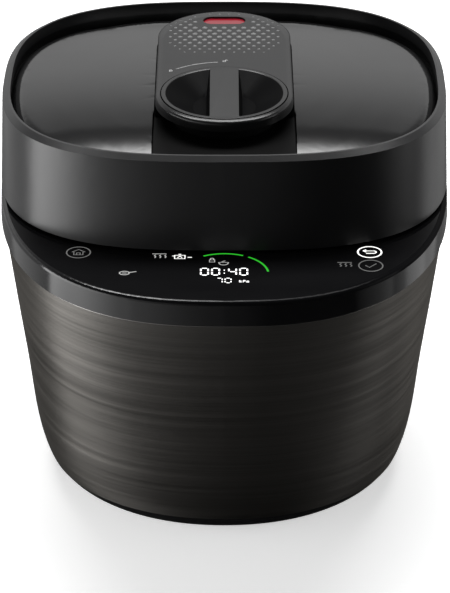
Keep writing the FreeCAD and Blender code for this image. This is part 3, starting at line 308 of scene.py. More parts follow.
def inked(name, points, width):
    """A line drawn through these points, as a flat print on the surface that they lie in."""
    bpy.ops.object.select_all(action="DESELECT")
    bpy.ops.mesh.primitive_plane_add(size=width, location=points[0])
    bpy.ops.object.mode_set(mode="EDIT")
    bpy.ops.mesh.merge(type="CENTER")
    for here, there in zip(points, points[1:]):
        bpy.ops.mesh.extrude_region_move(TRANSFORM_OT_translate={"value": there - here})
    bpy.ops.mesh.select_all(action="SELECT")
    bpy.ops.mesh.remove_doubles(threshold=width / 20)
    bpy.ops.object.mode_set(mode="OBJECT")
    bpy.ops.object.convert(target="CURVE")
    line = bpy.context.object
    line.name = name
    line.data.bevel_depth = width / 2
    line.data.bevel_resolution = 1
    line.data.use_fill_caps = True
    line.scale.z = 2 * PRINT_RISE / width
    bpy.ops.object.convert(target="MESH")
    bpy.ops.object.transform_apply(location=True, rotation=True, scale=True)
    return line


def drawing(name, middle, strokes, width):
    """A small sign of several strokes, each a list of offsets from its middle in millimetres."""
    lines = []
    for stroke in strokes:
        points = [middle + Vector((x, y, 0)) / 1000 for x, y in stroke]
        lines.append(inked(name, points, width))
    return lines


def joined(name, lines, material, body):
    """One piece from several, riding on a body."""
    bpy.ops.object.select_all(action="DESELECT")
    for line in lines:
        line.select_set(True)
    bpy.context.view_layer.objects.active = lines[0]
    bpy.ops.object.join()
    piece = bpy.context.object
    piece.name = name
    piece.data.materials.clear()
    piece.data.materials.append(material)
    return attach(piece, body)


def lit_print(name, colour, strength):
    """Light shining through a print, a little uneven along its line."""
    material, start, shader = surface(name, Roughness=0.3, Base_Color=(0.01, 0.01, 0.01, 1),
                                      Emission_Strength=strength)
    feed(tone(start, noise(start, [700.0] * 3), colour, 0.12), shader, "Emission Color")
    return material


def ellipse(wide, tall, first=0, last=360, steps=16):
    """Offsets along a flattened ring, for a sign's stroke."""
    turns = [math.radians(first + (last - first) * step / steps) for step in range(steps + 1)]
    return [(wide * math.cos(turn), tall * math.sin(turn)) for turn in turns]


RETURN_KEY = on_panel(0.1017, -0.1465)
OK_KEY = on_panel(0.1016, -0.167)
HOME_KEY = on_panel(-0.102, -0.147)
RETURN_ARROW = [[(-2.4, 3.6), (-4.6, 1.8), (-2.4, 0.0)],
                [(-4.6, 1.8), (2.6, 1.8),
                 *[(2.6 + x, y) for x, y in ellipse(1.9, 1.9, 90, -90, 8)], (-2.6, -1.9)]]
TICK = [[(-3.8, 0.4), (-1.0, -2.6), (4.0, 3.0)]]
HOUSE = [[(-4.6, 0.6), (0.0, 4.4), (4.6, 0.6)], [(-3.2, 0.8), (-3.2, -3.6), (3.2, -3.6), (3.2, 0.8)],
         [(-1.2, -3.4), (-1.2, -0.6), (1.2, -0.6), (1.2, -3.4)]]
POT = [[(-3.6, 2.0), (-3.6, -3.0), (3.6, -3.0), (3.6, 2.0), (-3.6, 2.0)], [(-1.0, 3.6), (1.0, 3.6)],
       [(-1.6, -1.4), (0.0, 0.8), (1.6, -1.4)], [(5.4, -1.0), (8.4, -1.0)], [(-5.2, 1.0), (-3.6, 1.0)]]
STEAM = [[(shift + dx, dy) for dx, dy in ((0.0, -2.4), (0.9, -0.8), (-0.2, 0.8), (0.7, 2.4))]
         for shift in (-3.6, 0.0, 3.6)] + [[(-5.4, 3.8), (4.6, 3.8)]]
PAN = [ellipse(3.4, 2.6), [(3.4, 0.8), (8.2, 2.2)], [(-1.6, 0.0), (1.6, 0.0)]]
PADLOCK = [[(-1.8, 0.6), (-1.8, -2.6), (1.8, -2.6), (1.8, 0.6), (-1.8, 0.6)],
           [(-1.2, 0.6), *[(x, 1.6 + y) for x, y in ellipse(1.2, 1.6, 180, 0, 8)], (1.2, 0.6)]]
BOWL = [[(-3.4, 0.8), *ellipse(3.2, 3.0, 180, 360, 10), (3.4, 0.8), (-3.4, 0.8)], [(-1.2, 2.0), (1.2, 3.2)]]

lit_white = lit_print("lit_white", (1.0, 1.0, 0.98), 1.5)
dim_white = lit_print("dim_white", (1.0, 1.0, 0.98), 0.16)
bright_signs = [inked("key_ring", arc(RETURN_KEY, KEY_R, 0, 360, KEY_STEPS), LINE * 1.3)]
bright_signs += drawing("return_arrow", RETURN_KEY, RETURN_ARROW, LINE * 1.2)
bright_signs += drawing("pot_sign", on_panel(-0.031, -0.1535), POT, LINE)
joined("bright_signs", bright_signs, lit_white, "base")

half_signs = drawing("steam_sign", on_panel(-0.045, -0.153), STEAM, LINE * 0.8)
half_signs += drawing("pan_sign", on_panel(-0.069, -0.178), PAN, LINE)
half_signs += drawing("lock_sign", on_panel(-0.0085, -0.159), PADLOCK, LINE * 0.8)
half_signs += drawing("bowl_sign", on_panel(-0.0005, -0.163), BOWL, LINE * 0.8)
joined("half_signs", half_signs, lit_print("half_white", (1.0, 1.0, 0.98), 0.55), "base")

dim_signs = [inked("key_ring", arc(OK_KEY, KEY_R, 0, 360, KEY_STEPS), LINE)]
dim_signs += [inked("key_ring", arc(HOME_KEY, KEY_R, 0, 360, KEY_STEPS), LINE)]
dim_signs += drawing("tick", OK_KEY, TICK, LINE)
dim_signs += drawing("house", HOME_KEY, HOUSE, LINE)
dim_signs += drawing("steam_sign", on_panel(0.084, -0.166), STEAM, LINE)
joined("dim_signs", dim_signs, dim_white, "base")

# Display: figures of seven light bars each and a green arc that shows the progress.
# The bars are windows in the black print, lit from the display module below.

FIGURE_BARS = {"0": "abcdef", "4": "bcfg", "7": "abc"}
BIG_FIGURE, SMALL_FIGURE = (0.0050, 0.0100), (0.0040, 0.0068)
BAR_GAP = 0.0008
TIME_PLACES = {-0.0137: "0", -0.0060: "0", 0.0057: "4", 0.0134: "0"}
TIME_Y, COUNT_Y = -0.176, -0.189
TIME_LINE, COUNT_LINE, UNIT_LINE = 0.0011, 0.0008, 0.0006
COLON_RISE, COLON_HALF, COLON_LINE = 0.0022, 0.0004, 0.0012
COUNT_PLACES = {-0.0034: "7", 0.0026: "0"}
COUNT_UNIT = on_panel(0.0105, COUNT_Y - 0.0012)
UNIT = [[(0.0, -1.4), (0.0, 1.6)], [(1.3, 0.6), (0.1, -0.4), (1.4, -1.4)],
        [(2.6, -1.4), (2.6, 1.5), (3.8, 1.5), (3.8, 0.1), (2.6, 0.1)],
        [(4.9, 0.5), (6.2, 0.5), (6.2, -1.4), (4.9, -1.4), (4.9, -0.4), (6.2, -0.4)]]
ARC_MIDDLE, ARC_R, ARC_LINE = on_panel(0.0, -0.1795), 0.0305, 0.0015


def bar_places(size):
    """The seven bars of a figure: where each lies from the figure's middle, and whether it is upright."""
    half_wide, half_tall = size[0] / 2, size[1] / 2
    return {"a": (0, half_tall, False), "g": (0, 0, False), "d": (0, -half_tall, False),
            "b": (half_wide, half_tall / 2, True), "c": (half_wide, -half_tall / 2, True),
            "e": (-half_wide, -half_tall / 2, True), "f": (-half_wide, half_tall / 2, True)}


def figures(size, places, y, width):
    """Figures in a row: one level and one upright bar are made, then copied to where they shine."""
    middle = on_panel(0, y)
    level_half = Vector((size[0] / 2 - BAR_GAP, 0, 0))
    upright_half = Vector((0, size[1] / 4 - BAR_GAP, 0))
    level = inked("bar", [middle - level_half, middle + level_half], width)
    upright = inked("bar", [middle - upright_half, middle + upright_half], width)
    copies = []
    for x, figure in places.items():
        for letter in FIGURE_BARS[figure]:
            dx, dy, stands = bar_places(size)[letter]
            source = upright if stands else level
            bar = bpy.data.objects.new("bar", source.data.copy())
            bpy.context.collection.objects.link(bar)
            bar.location = (x + dx, dy, 0)
            copies.append(bar)
    bpy.data.objects.remove(level)
    bpy.data.objects.remove(upright)
    bpy.ops.object.select_all(action="DESELECT")
    for bar in copies:
        bar.select_set(True)
    bpy.context.view_layer.objects.active = copies[0]
    bpy.ops.object.transform_apply(location=True, rotation=True, scale=True)
    return copies


shown = figures(BIG_FIGURE, TIME_PLACES, TIME_Y, TIME_LINE)
shown += figures(SMALL_FIGURE, COUNT_PLACES, COUNT_Y, COUNT_LINE)
shown += drawing("unit", COUNT_UNIT, UNIT, UNIT_LINE)
for rise in (-COLON_RISE, COLON_RISE):
    dot = on_panel(0, TIME_Y + rise)
    half = Vector((COLON_HALF, 0, 0))
    shown.append(inked("colon", [dot - half, dot + half], COLON_LINE))
joined("display_figures", shown, lit_print("figure_light", (1.0, 1.0, 1.0), 2.2), "base")

green = [inked("progress", arc(ARC_MIDDLE, ARC_R, 118.4, 64.6, 24), ARC_LINE),
         inked("progress", arc(ARC_MIDDLE, ARC_R, 56.5, 6.9, 24), ARC_LINE)]
joined("progress_arc", green, lit_print("green_light", (0.02, 0.42, 0.02), 1.3), "base")

# Display module and boards: the light box under the figures, and the two boards in the ledge.
# The box is clear moulded plastic, and the boards are green laminate with tinned tracks.

material, start, shader = surface("board_laminate", Specular_IOR_Level=0.4)
lanes = noise(start, (160.0, 900.0, 20.0), 0.0)
tracks = start.make("ShaderNodeMapRange", {}, {"Value": lanes, "From Min": 0.56, "From Max": 0.6}, "Result")
laminate = {"Factor": tracks, "A": (0.012, 0.11, 0.035, 1), "B": (0.03, 0.2, 0.07, 1)}
feed(start.make("ShaderNodeMix", {"data_type": "RGBA"}, laminate, "Result"), shader, "Base Color")
feed(0.5 - tracks * 0.15, shader, "Roughness")
wear(material, "display_board", "power_board")
wear(gloss_plastic("light_box", (0.02, 0.02, 0.022), 0.3, 0.1), "display_module")

# Mains inlet: the socket low at the back, a heat-proof moulding snapped into the steel.
# Three tinned brass blades stand in it.

wear(filled_plastic, "power_inlet")
wear(drawn_metal("tinned_brass", (0.6, 0.5, 0.3), 0.3, (60.0, 30.0, 900.0)), "inlet_pins")

# Pressure shell, heating plate and sensor: the pot's seat inside the casing.
# The shell is a deep-drawn aluminium can with bayonet lugs, the plate cast over its heater tube.


def spun_metal(name, shade, roughness, pitch, metallic=1.0):
    """Metal that was turned about the pot's axis, with rings of fine tool marks."""
    material, start, shader = surface(name, Metallic=metallic)
    place = start.make("ShaderNodeTexCoord", {}, {}, "Object")
    shift = {"Vector": place, "Location": (0, -AXIS_Y, 0), "Scale": (1, 1, 0)}
    level = start.make("ShaderNodeMapping", {}, shift)
    radius = start.make("ShaderNodeVectorMath", {"operation": "LENGTH"}, {0: level}, "Value")
    height = part_of(start, place, "Z")
    rings = start.make("ShaderNodeTexNoise", {"noise_dimensions": "1D"},
                       {"W": (radius + height) * (1 / pitch), "Scale": 1.0, "Detail": 3.0}, "Fac")
    cloud = noise(start, [30.0] * 3)
    feed(tone(start, rings * 0.6 + cloud * 0.4, shade, 0.2), shader, "Base Color")
    feed(roughness + (rings - 0.5) * 0.14 + (cloud - 0.5) * 0.08, shader, "Roughness")
    relief(start, shader, rings, 0.06, 0.0002)
    return material


spun_aluminium = spun_metal("spun_aluminium", (0.62, 0.62, 0.63), 0.34, 0.0011)
wear(spun_aluminium, "outer_pot", "sensor_plunger")
wear(spun_metal("cast_aluminium", (0.5, 0.5, 0.5), 0.45, 0.003), "heating_plate")
wear(plated_steel, "heater_tube", "sensor_cup", "sensor_spring")

# Inner pot: the lift-out cooking pot, spun from thick aluminium.
# It has a dark non-stick coat with a fine pale fleck, sprayed on and baked.

material, start, shader = surface("speckled_coat", Specular_IOR_Level=0.4)
grit = noise(start, [2600.0] * 3, 1.0)
fleck = start.make("ShaderNodeMapRange", {}, {"Value": grit, "From Min": 0.66, "From Max": 0.72}, "Result")
coat = {"Factor": fleck, "A": (0.022, 0.022, 0.023, 1), "B": (0.16, 0.155, 0.15, 1)}
feed(start.make("ShaderNodeMix", {"data_type": "RGBA"}, coat, "Result"), shader, "Base Color")
feed(0.42 + (grit - 0.5) * 0.2, shader, "Roughness")
relief(start, shader, grit, 0.08, 0.0002)
wear(material, "inner_pot")

# Rear hinge: two cheeks behind the collar and the arm on the lid, turning on a steel pin.
# Moulded in the same satin black as the tray, with a spring wound round the pin.

wear(satin_black, "hinge_housing", "lid_hinge_arm")
wear(plated_steel, "hinge_pin", "hinge_spring")

# Lid shell: the raked band of the lid with its bevelled rim.
# Satin black ABS with a very fine grain, one deep moulding.

wear(grained_plastic("lid_satin", (0.0075, 0.0075, 0.008), 0.32, 0.0005, 0.08), "lid_shell")

# Carrier plate and liner: the plate under the top cover, whose floor shows in front of the knob.
# Plain satin mouldings, the liner held up by four screws from below.

deck_satin = grained_plastic("deck_satin", (0.004, 0.004, 0.0042), 0.42, 0.0006, 0.1)
wear(dulled(deck_satin, (0.004, 0.004, 0.004, 1), 0.86), "lid_deck", "lid_liner")
wear(plated_steel, "liner_screws")

# Top cover: the domed panel that fills the lid inside the rim, clipped to the carrier plate.
# Dark grey high-gloss ABS. Its front bows down to the rim and its edge rolls into a shadow gap.
# The moulding is cut into even strips first, so that it bends smoothly.

COVER_STRIP, COVER_STRIPS = 0.004, 68
COVER_START = AXIS_Y - 0.1326
COVER_COLUMN, COVER_COLUMNS, COLUMN_SHIFT = 3 * COVER_STRIP, 13, 0.3
COVER_MERGE = 0.0004
FRONT_LINE, FRONT_DROP, FRONT_REACH = AXIS_Y - 0.112, 0.007, 0.142
EDGE_DROP, EDGE_REACH = 0.0055, 0.042
BACK_LINE, BACK_DROP, BACK_REACH = AXIS_Y + 0.125, 0.002, 0.095
BACK_LIFT, LIFT_REACH = 0.0035, 0.032
COVER_SPREAD = 1.016


def pulled_down(piece, chosen, drop, reach):
    """Lowers the chosen corners and, less and less, the surface within reach of them."""
    bpy.ops.mesh.select_all(action="DESELECT")
    bpy.ops.object.mode_set(mode="OBJECT")
    for corner in piece.data.vertices:
        corner.select = chosen(corner)
    bpy.ops.object.mode_set(mode="EDIT")
    bpy.ops.transform.translate(value=(0, 0, -drop), use_proportional_edit=True,
                                proportional_edit_falloff="SHARP", proportional_size=reach)


cover = merged_copy("top_cover", "lid_panel")
for strip in range(COVER_STRIPS):
    bpy.ops.mesh.select_all(action="SELECT")
    bpy.ops.mesh.bisect(plane_co=(0, COVER_START + strip * COVER_STRIP, 0), plane_no=(0, 1, 0))
for column in range(-COVER_COLUMNS - 1, COVER_COLUMNS + 1):
    bpy.ops.mesh.select_all(action="SELECT")
    bpy.ops.mesh.bisect(plane_co=((column + COLUMN_SHIFT) * COVER_COLUMN, 0, 0), plane_no=(1, 0, 0))
bpy.ops.mesh.select_all(action="SELECT")
bpy.ops.mesh.remove_doubles(threshold=COVER_MERGE)
bpy.ops.transform.resize(value=(COVER_SPREAD, 1, 1), center_override=(0, 0, 0))
pulled_down(cover, lambda corner: corner.co.y < FRONT_LINE, FRONT_DROP, FRONT_REACH)
pulled_down(cover, lambda corner: corner.co.y < FRONT_LINE, EDGE_DROP, EDGE_REACH)
pulled_down(cover, lambda corner: corner.co.y > BACK_LINE, BACK_DROP, BACK_REACH)
pulled_down(cover, lambda corner: corner.co.y > BACK_LINE, -BACK_LIFT, LIFT_REACH)
bpy.ops.object.mode_set(mode="OBJECT")
bpy.ops.object.shade_smooth_by_angle(angle=math.radians(30))
cover.data.materials.clear()
cover.data.materials.append(gloss_plastic("cover_gloss", (0.0045, 0.0045, 0.0047), 0.16, 0.05))
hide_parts("lid_panel")
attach(cover, "lid")

# Bridge: the raised tongue over the lid with the steam grille and the knob's seat.
# Same grey gloss as the cover. Each hole of the grille holds a dished eyelet with a fine bore, tinted pale
# grey as a painted highlight of the hole's lit rim.

bridge_gloss = gloss_plastic("bridge_gloss", (0.008, 0.008, 0.0083), 0.24, 0.06)
wear(dulled(bridge_gloss, (0.01, 0.01, 0.0103, 1), 0.3), "lid_bridge", "knob_sleeve")

bridge = frame["nodes"]["lid_bridge"]
bridge_low, bridge_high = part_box("lid_bridge")
slot_low, slot_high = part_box("float_indicator")
BRIDGE_R = (bridge_high.x - bridge_low.x) / 2
BACK_Y = bridge_high.y - BRIDGE_R
SLOT_Y = (slot_low.y + slot_high.y) / 2
GRILLE_PITCH, GRILLE_ROW = 0.0073, 0.00574
GRILLE_FRONT_Y = AXIS_Y + 0.020
GRILLE_ROWS, GRILLE_COLUMNS = 15, 6
GRILLE_MARGIN, GRILLE_EDGE = 0.00355, 0.006
FADE_START, FADE_FRONT, FADE_SIDE = 0.008, 0.036, 0.026
HOLE_R, LEAST_HOLE_R = 0.002, 0.0008
EYELET_SIDES = 16
EYELET_DISH = ((0.34, 0.14), (0.34, 0.08), (0.14, 0.01))
EYELET_WALL = 0.25
EYELET_FIT = 0.97
EYELET_SINK = 0.0001
BESIDE_HOLE = 0.0006


def grille_places():
    """Centres and radii of the staggered holes, which shrink towards the knob and the sides."""
    places = []
    for row in range(GRILLE_ROWS):
        y = GRILLE_FRONT_Y + row * GRILLE_ROW
        for column in range(-GRILLE_COLUMNS, GRILLE_COLUMNS + 1):
            x = (column + 0.5 * (row % 2)) * GRILLE_PITCH
            from_edge = BRIDGE_R - math.hypot(x, max(0.0, y - BACK_Y + GRILLE_EDGE))
            beside_slot = abs(x) > slot_high.x + GRILLE_MARGIN
            clear_of_slot = beside_slot or abs(y - SLOT_Y) > slot_high.y - SLOT_Y + GRILLE_MARGIN
            along = min(1.0, (y - GRILLE_FRONT_Y + FADE_START) / FADE_FRONT)
            across = max(0.0, min(1.0, from_edge / FADE_SIDE))
            radius = HOLE_R * math.sqrt(along * across)
            if from_edge > GRILLE_EDGE and clear_of_slot and radius > LEAST_HOLE_R:
                places.append((x, y, radius))
    return places


def bridge_height(x, y):
    """Height of the bridge's top face at a place beside a hole."""
    _, point, _, _ = bridge.ray_cast((x, y, 2 * bridge_high.z), (0, 0, -1))
    return point.z


bpy.ops.object.select_all(action="DESELECT")
bpy.ops.mesh.primitive_circle_add(vertices=EYELET_SIDES, radius=1.0, fill_type="NGON")
eyelet = bpy.context.object
bpy.ops.object.mode_set(mode="EDIT")
for inward, sink in EYELET_DISH:
    bpy.ops.mesh.inset(thickness=inward, depth=-sink)
bpy.ops.mesh.delete(type="FACE")
bpy.ops.object.mode_set(mode="OBJECT")
wall = eyelet.modifiers.new("wall", "SOLIDIFY")
wall.thickness = EYELET_WALL
wall.offset = -1
bpy.ops.object.modifier_apply(modifier=wall.name)
bpy.ops.object.shade_smooth_by_angle(angle=math.radians(40))

eyelets = []
for x, y, radius in grille_places():
    reach = radius + BESIDE_HOLE
    right, left = bridge_height(x + reach, y), bridge_height(x - reach, y)
    behind, before = bridge_height(x, y + reach), bridge_height(x, y - reach)
    lean = Vector((left - right, before - behind, 2 * reach))
    copy = bpy.data.objects.new("eyelet", eyelet.data.copy())
    bpy.context.collection.objects.link(copy)
    copy.location = (x, y, (right + left + behind + before) / 4 - EYELET_SINK)
    copy.rotation_euler = lean.to_track_quat("Z", "Y").to_euler()
    copy.scale = [radius * EYELET_FIT] * 3
    eyelets.append(copy)
bpy.data.objects.remove(eyelet)
bpy.ops.object.select_all(action="DESELECT")
for copy in eyelets:
    copy.select_set(True)
bpy.context.view_layer.objects.active = eyelets[0]
bpy.ops.object.transform_apply(location=True, rotation=True, scale=True)
# The eyelets' pale grey is a painted highlight: it stands in for the rims of the holes catching the light.
eyelet_painted_highlight = gloss_plastic("eyelet_painted_highlight", (0.13, 0.13, 0.132), 0.3, 0.05)
joined("grille_eyelets", eyelets, eyelet_painted_highlight, "lid")

# Knob: the round dished knob with a straight grip bar, sunk flush into the bridge.
# Gloss ABS like the bridge, its two finger hollows left matt. Its bowl is pushed onto the shaft.
# Pad-printed marks on the bridge show where the bar points.

knob_low, knob_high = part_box("lock_knob")
KNOB_R = (knob_high.x - knob_low.x) / 2
KNOB_Y = (knob_low.y + knob_high.y) / 2
FLANGE = 0.0054
BOWL_R = 0.0352
KNOB_RIM = 0.0026
GRIP_HALF, GRIP_DRAFT = 0.0103, 0.22
HOLLOW_DEEP, HOLLOW_FOOT_R, HOLLOW_ROUND = 0.0115, 0.0225, 0.004
SCOOP_ABOVE = 0.01
KNOB_SIDES, HOLLOW_SIDES = 128, 96
KNOB_ROUND = 0.0005
DULL_FROM, DULL_BELOW = 0.00005, 0.0004


def rounded(piece, width, segments, angle):
    """Bevels the edges of a piece that are sharper than an angle in degrees."""
    rounding = piece.modifiers.new("rounding", "BEVEL")
    rounding.width = width
    rounding.segments = segments
    rounding.limit_method = "ANGLE"
    rounding.angle_limit = math.radians(angle)
    bpy.context.view_layer.objects.active = piece
    bpy.ops.object.modifier_apply(modifier=rounding.name)


bpy.ops.object.select_all(action="DESELECT")
bpy.ops.mesh.primitive_cylinder_add(vertices=KNOB_SIDES, radius=KNOB_R, depth=FLANGE,
                                    location=(0, KNOB_Y, knob_high.z - FLANGE / 2))
knob = bpy.context.object
knob.name = "lock_knob_grip"
bpy.ops.object.transform_apply(location=True, rotation=True, scale=True)
bpy.ops.object.mode_set(mode="EDIT")
bpy.ops.mesh.select_mode(type="FACE")
bpy.ops.mesh.select_all(action="DESELECT")
bpy.ops.object.mode_set(mode="OBJECT")
for face in knob.data.polygons:
    face.select = face.normal.z < -0.9
bpy.ops.object.mode_set(mode="EDIT")
bpy.ops.mesh.inset(thickness=KNOB_R - BOWL_R)
bowl_drop = knob_low.z - knob_high.z + FLANGE
bpy.ops.mesh.extrude_region_move(TRANSFORM_OT_translate={"value": (0, 0, bowl_drop)})
bpy.ops.mesh.select_mode(type="VERT")
bpy.ops.object.mode_set(mode="OBJECT")
scoop_tall = HOLLOW_DEEP + SCOOP_ABOVE
scoop_spread = (KNOB_R - KNOB_RIM - HOLLOW_FOOT_R) / HOLLOW_DEEP
for side in (-1, 1):
    bpy.ops.object.select_all(action="DESELECT")
    bpy.ops.mesh.primitive_cone_add(vertices=HOLLOW_SIDES, radius1=HOLLOW_FOOT_R, depth=scoop_tall,
                                    radius2=HOLLOW_FOOT_R + scoop_tall * scoop_spread,
                                    location=(0, KNOB_Y, knob_high.z + SCOOP_ABOVE - scoop_tall / 2))
    scoop = bpy.context.object
    bpy.ops.object.mode_set(mode="EDIT")
    bpy.ops.mesh.select_all(action="SELECT")
    bpy.ops.mesh.bisect(plane_co=(side * GRIP_HALF, KNOB_Y, knob_high.z), plane_no=(side, 0, GRIP_DRAFT),
                        use_fill=True, clear_inner=True)
    bpy.ops.object.mode_set(mode="OBJECT")
    rounded(scoop, HOLLOW_ROUND, 5, 30)
    hollow = knob.modifiers.new("hollow", "BOOLEAN")
    hollow.operation = "DIFFERENCE"
    hollow.object = scoop
    bpy.context.view_layer.objects.active = knob
    bpy.ops.object.modifier_apply(modifier=hollow.name)
    bpy.data.objects.remove(scoop)
rounded(knob, KNOB_ROUND, 2, 40)
bpy.ops.object.select_all(action="DESELECT")
knob.select_set(True)
bpy.ops.object.shade_smooth_by_angle(angle=math.radians(20))
knob_gloss = gloss_plastic("knob_gloss", (0.007, 0.007, 0.0073), 0.24, 0.06)
start = Finish(knob_gloss.node_tree)
height = part_of(start, start.make("ShaderNodeTexCoord", {}, {}, "Object"), "Z")
sunk = stepped(start, height, knob_high.z - DULL_FROM, knob_high.z - DULL_BELOW, 0.25, 0.98)
knob.data.materials.append(dulled(knob_gloss, (0.006, 0.006, 0.0062, 1), sunk))
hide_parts("lock_knob")
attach(knob, "knob")

KNOB_MIDDLE = Vector((0, KNOB_Y, bridge_high.z))
MARK_R = 0.0545
MARK_LINE = 0.0005
LOCK_TURN = 45.0
MARK_SIZE, BOW_SHIFT = 0.55, 1.4
RELEASED_OUT, LOCKED_OUT = 0.0022, 0.0005
SMALL_LOCK = [[(MARK_SIZE * x, MARK_SIZE * y) for x, y in stroke] for stroke in PADLOCK]
OPEN_LOCK = [SMALL_LOCK[0], [(x + BOW_SHIFT, y) for x, y in SMALL_LOCK[1]]]

marks = [inked("turn_line", arc(KNOB_MIDDLE, MARK_R, 95, 85 + LOCK_TURN, 24), MARK_LINE)]
released = arc(KNOB_MIDDLE, MARK_R + RELEASED_OUT, 90, 90, 1)[0]
locked = arc(KNOB_MIDDLE, MARK_R + LOCKED_OUT, 90 + LOCK_TURN, 90 + LOCK_TURN, 1)[0]
marks += drawing("released_mark", released, OPEN_LOCK, LINE * 0.6)
marks += drawing("locked_mark", locked, SMALL_LOCK, LINE * 0.6)
printed = grained_plastic("pad_print", (0.42, 0.42, 0.42), 0.5, 0.0003, 0.05)
joined("knob_marks", marks, printed, "lid")

# Lock gear: the shaft of the knob, its pinion, and the bayonet ring with the toothed sector.
# The ring is a die-cast aluminium hoop that turns under the lugs of the pressure shell.

wear(plated_steel, "knob_shaft", "pinion_screw", "drive_sector")
wear(grained_plastic("gear_nylon", (0.28, 0.27, 0.25), 0.5, 0.0008, 0.1), "drive_pinion")
wear(spun_aluminium, "lock_ring")

# Underside of the lid: the pressed steel lid that takes the pressure, hung from the carrier on posts.
# The bright inner lid is held by its centre nut and comes off for washing.

pressed_steel = spun_metal("pressed_steel", (0.5, 0.49, 0.48), 0.3, 0.0016)
wear(pressed_steel, "pressure_lid", "inner_lid", "filter_cap")
wear(plated_steel, "lid_posts")
wear(filled_plastic, "ring_guides", "inner_lid_nut")

# Seals: the thick lip ring that seals the pot, and the small disc on the float valve.
# Translucent pale silicone, compression-moulded, with a trace of talc.

material, start, shader = surface("pale_silicone", Subsurface_Weight=0.2, Subsurface_Scale=0.004,
                                  Specular_IOR_Level=0.4)
talc = noise(start, [90.0] * 3, 4.0)
feed(tone(start, talc, (0.56, 0.55, 0.51), 0.1), shader, "Base Color")
feed(0.5 + (talc - 0.5) * 0.3, shader, "Roughness")
wear(material, "sealing_ring", "float_seal")

# Valves: the vent with its limiter weight, the coil that lifts it, and the float that shows pressure.
# The float's red end stands in the slot of the bridge.

turned_steel = drawn_metal("turned_steel", (0.55, 0.54, 0.53), 0.28, (40.0, 40.0, 1500.0))
wear(turned_steel, "vent_pipe", "limiter_weight")
wear(drawn_metal("coil_steel", (0.4, 0.33, 0.24), 0.42, (60.0, 1800.0, 60.0)), "release_solenoid")
wear(filled_plastic, "float_guide")
wear(gloss_plastic("indicator_red", (0.2, 0.006, 0.014), 0.22, 0.08), "float_indicator")

# Stage: a pale table under a broad overhead light, with a tall light card on either side.
# The cards fade towards the front, and the white behind is the backdrop of the studio.

TABLE_WIDE, TABLE_LONG, TABLE_FRONT = 0.84, 3.4, 0.45
OVERHEAD_HIGH = 1.35


def lamp(name, place, aim, width, height, power):
    """A soft rectangular light."""
    light = bpy.data.lights.new(name, "AREA")
    light.shape = "RECTANGLE"
    light.size = width
    light.size_y = height
    light.energy = power
    holder = bpy.data.objects.new(name, light)
    bpy.context.collection.objects.link(holder)
    holder.location = place
    holder.rotation_euler = (Vector(aim) - Vector(place)).to_track_quat("-Z", "Y").to_euler()
    return light


def graded(light, *grades):
    """Dims a light along axes. A grade is the axis, where it is full, where it is least and that share."""
    light.use_nodes = True
    start = Finish(light.node_tree)
    strength = 1.0
    for axis, full, least, share in grades:
        along = part_of(start, start.make("ShaderNodeNewGeometry", {}, {}, "Position"), axis)
        fall = {"Value": along, "From Min": full, "From Max": least, "To Min": 1.0, "To Max": share}
        strength = strength * start.make("ShaderNodeMapRange", {}, fall, "Result")
    feed(strength, light.node_tree.nodes["Emission"], "Strength")


overhead = lamp("overhead", (0, 0.46, OVERHEAD_HIGH), (0, 0.46, 0), 1.2, 0.64, 35)
graded(overhead, ("Y", 0.38, 0.7, 0.03))
left_card = lamp("left_card", (-0.8, -0.53, 0.0), (0, -0.53, 0.0), 1.1, 0.8, 17)
graded(left_card, ("Y", -0.05, -0.85, 0.1), ("Z", 0.1, -0.12, 0.35))
right_card = lamp("right_card", (0.8, -0.26, 0.2), (0, -0.26, 0.2), 0.42, 0.8, 3.2)
graded(right_card, ("Y", -0.05, -0.47, 0.15), ("Z", 0.4, 0.05, 0.12))
lamp("right_strip", (0.8, 0.3, 0.0), (0, 0.3, 0.0), 0.35, 0.5, 0.2)

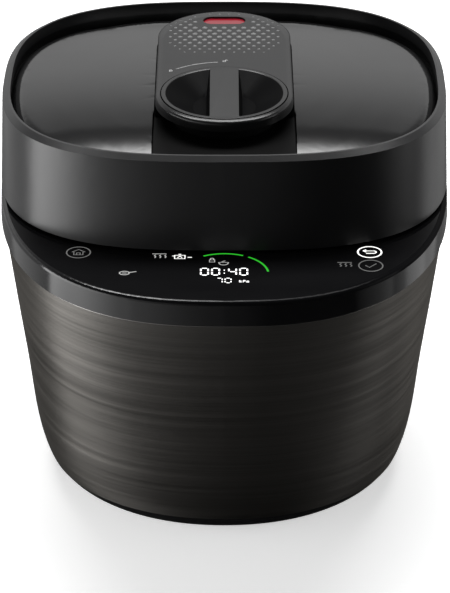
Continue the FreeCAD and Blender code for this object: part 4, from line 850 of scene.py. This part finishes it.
bpy.ops.object.select_all(action="DESELECT")
bpy.ops.mesh.primitive_plane_add(size=1, location=(0, TABLE_LONG / 2 - TABLE_FRONT, 0))
table = bpy.context.object
table.scale = (TABLE_WIDE, TABLE_LONG, 1)
bpy.ops.object.transform_apply(location=True, rotation=True, scale=True)
table.name = "table"
material, start, shader = surface("pale_table", Emission_Strength=1.0)
paper = noise(start, [300.0] * 3, 2.0)
# For glossy rays the table's colour drops to about a tenth: painted shade of the table in the reflections
# on the steel.
glossy = start.make("ShaderNodeLightPath", {}, {}, "Is Glossy Ray")
feed((0.82 + (paper - 0.5) * 0.03) * (1 - 0.88 * glossy), shader, "Base Color")
feed(0.65 + (paper - 0.5) * 0.1, shader, "Roughness")
# For camera rays the table also glows, at 0.54 within 0.2 m of the origin rising to 0.9 beyond 0.42 m:
# painted light that whitens the far table while the lamps' shadow near the cooker stays.
seen = start.make("ShaderNodeLightPath", {}, {}, "Is Camera Ray")
spot = start.make("ShaderNodeTexCoord", {}, {}, "Object")
apart = start.make("ShaderNodeVectorMath", {"operation": "LENGTH"}, {0: spot}, "Value")
feed(seen * stepped(start, apart, 0.2, 0.42, 0.54, 0.9), shader, "Emission Color")
table.data.materials.append(material)

world = bpy.data.worlds.new("studio")
bpy.context.scene.world = world
world.use_nodes = True
air = Finish(world.node_tree)
direction = air.make("ShaderNodeTexCoord", {}, {}, "Generated")
rise = part_of(air, direction, "Z")
depth = part_of(air, direction, "Y")
side = part_of(air, direction, "X")
behind = stepped(air, rise, 0.05, 0.36, 0.55, 1.0) * stepped(air, rise, 0.42, 0.66, 1.0, 0.17)
behind = behind * stepped(air, depth, -0.1, 0.5)
before = stepped(air, side, -0.95, 0.25, 1.0, 0.0) * stepped(air, depth, -0.3, 0.1, 1.0, 0.0)
before = before * stepped(air, rise, 0.1, 0.5, 1.0, 0.0)
backdrop = behind + before
camera = air.make("ShaderNodeLightPath", {}, {}, "Is Camera Ray")
clear = air.make("ShaderNodeLightPath", {}, {}, "Is Transmission Ray")
glossy = air.make("ShaderNodeLightPath", {}, {}, "Is Glossy Ray")
seen = camera + clear
background = world.node_tree.nodes["Background"]
background.inputs["Color"].default_value = (1, 1, 1, 1)
feed(seen + (1 - seen) * (glossy * backdrop + (1 - glossy) * 0.2), background, "Strength")

lens = bpy.data.cameras.new("camera")
lens.lens = 176.5
lens.sensor_width = 36
lens.shift_x = 0.0012
eye = bpy.data.objects.new("camera", lens)
bpy.context.collection.objects.link(eye)
eye.location = (0, AXIS_Y - 1.954, 1.1755)
aim = Vector((0, AXIS_Y, 0.1282))
eye.rotation_euler = (aim - eye.location).to_track_quat("-Z", "Y").to_euler()
bpy.context.scene.camera = eye
bpy.context.scene.view_settings.view_transform = "Standard"
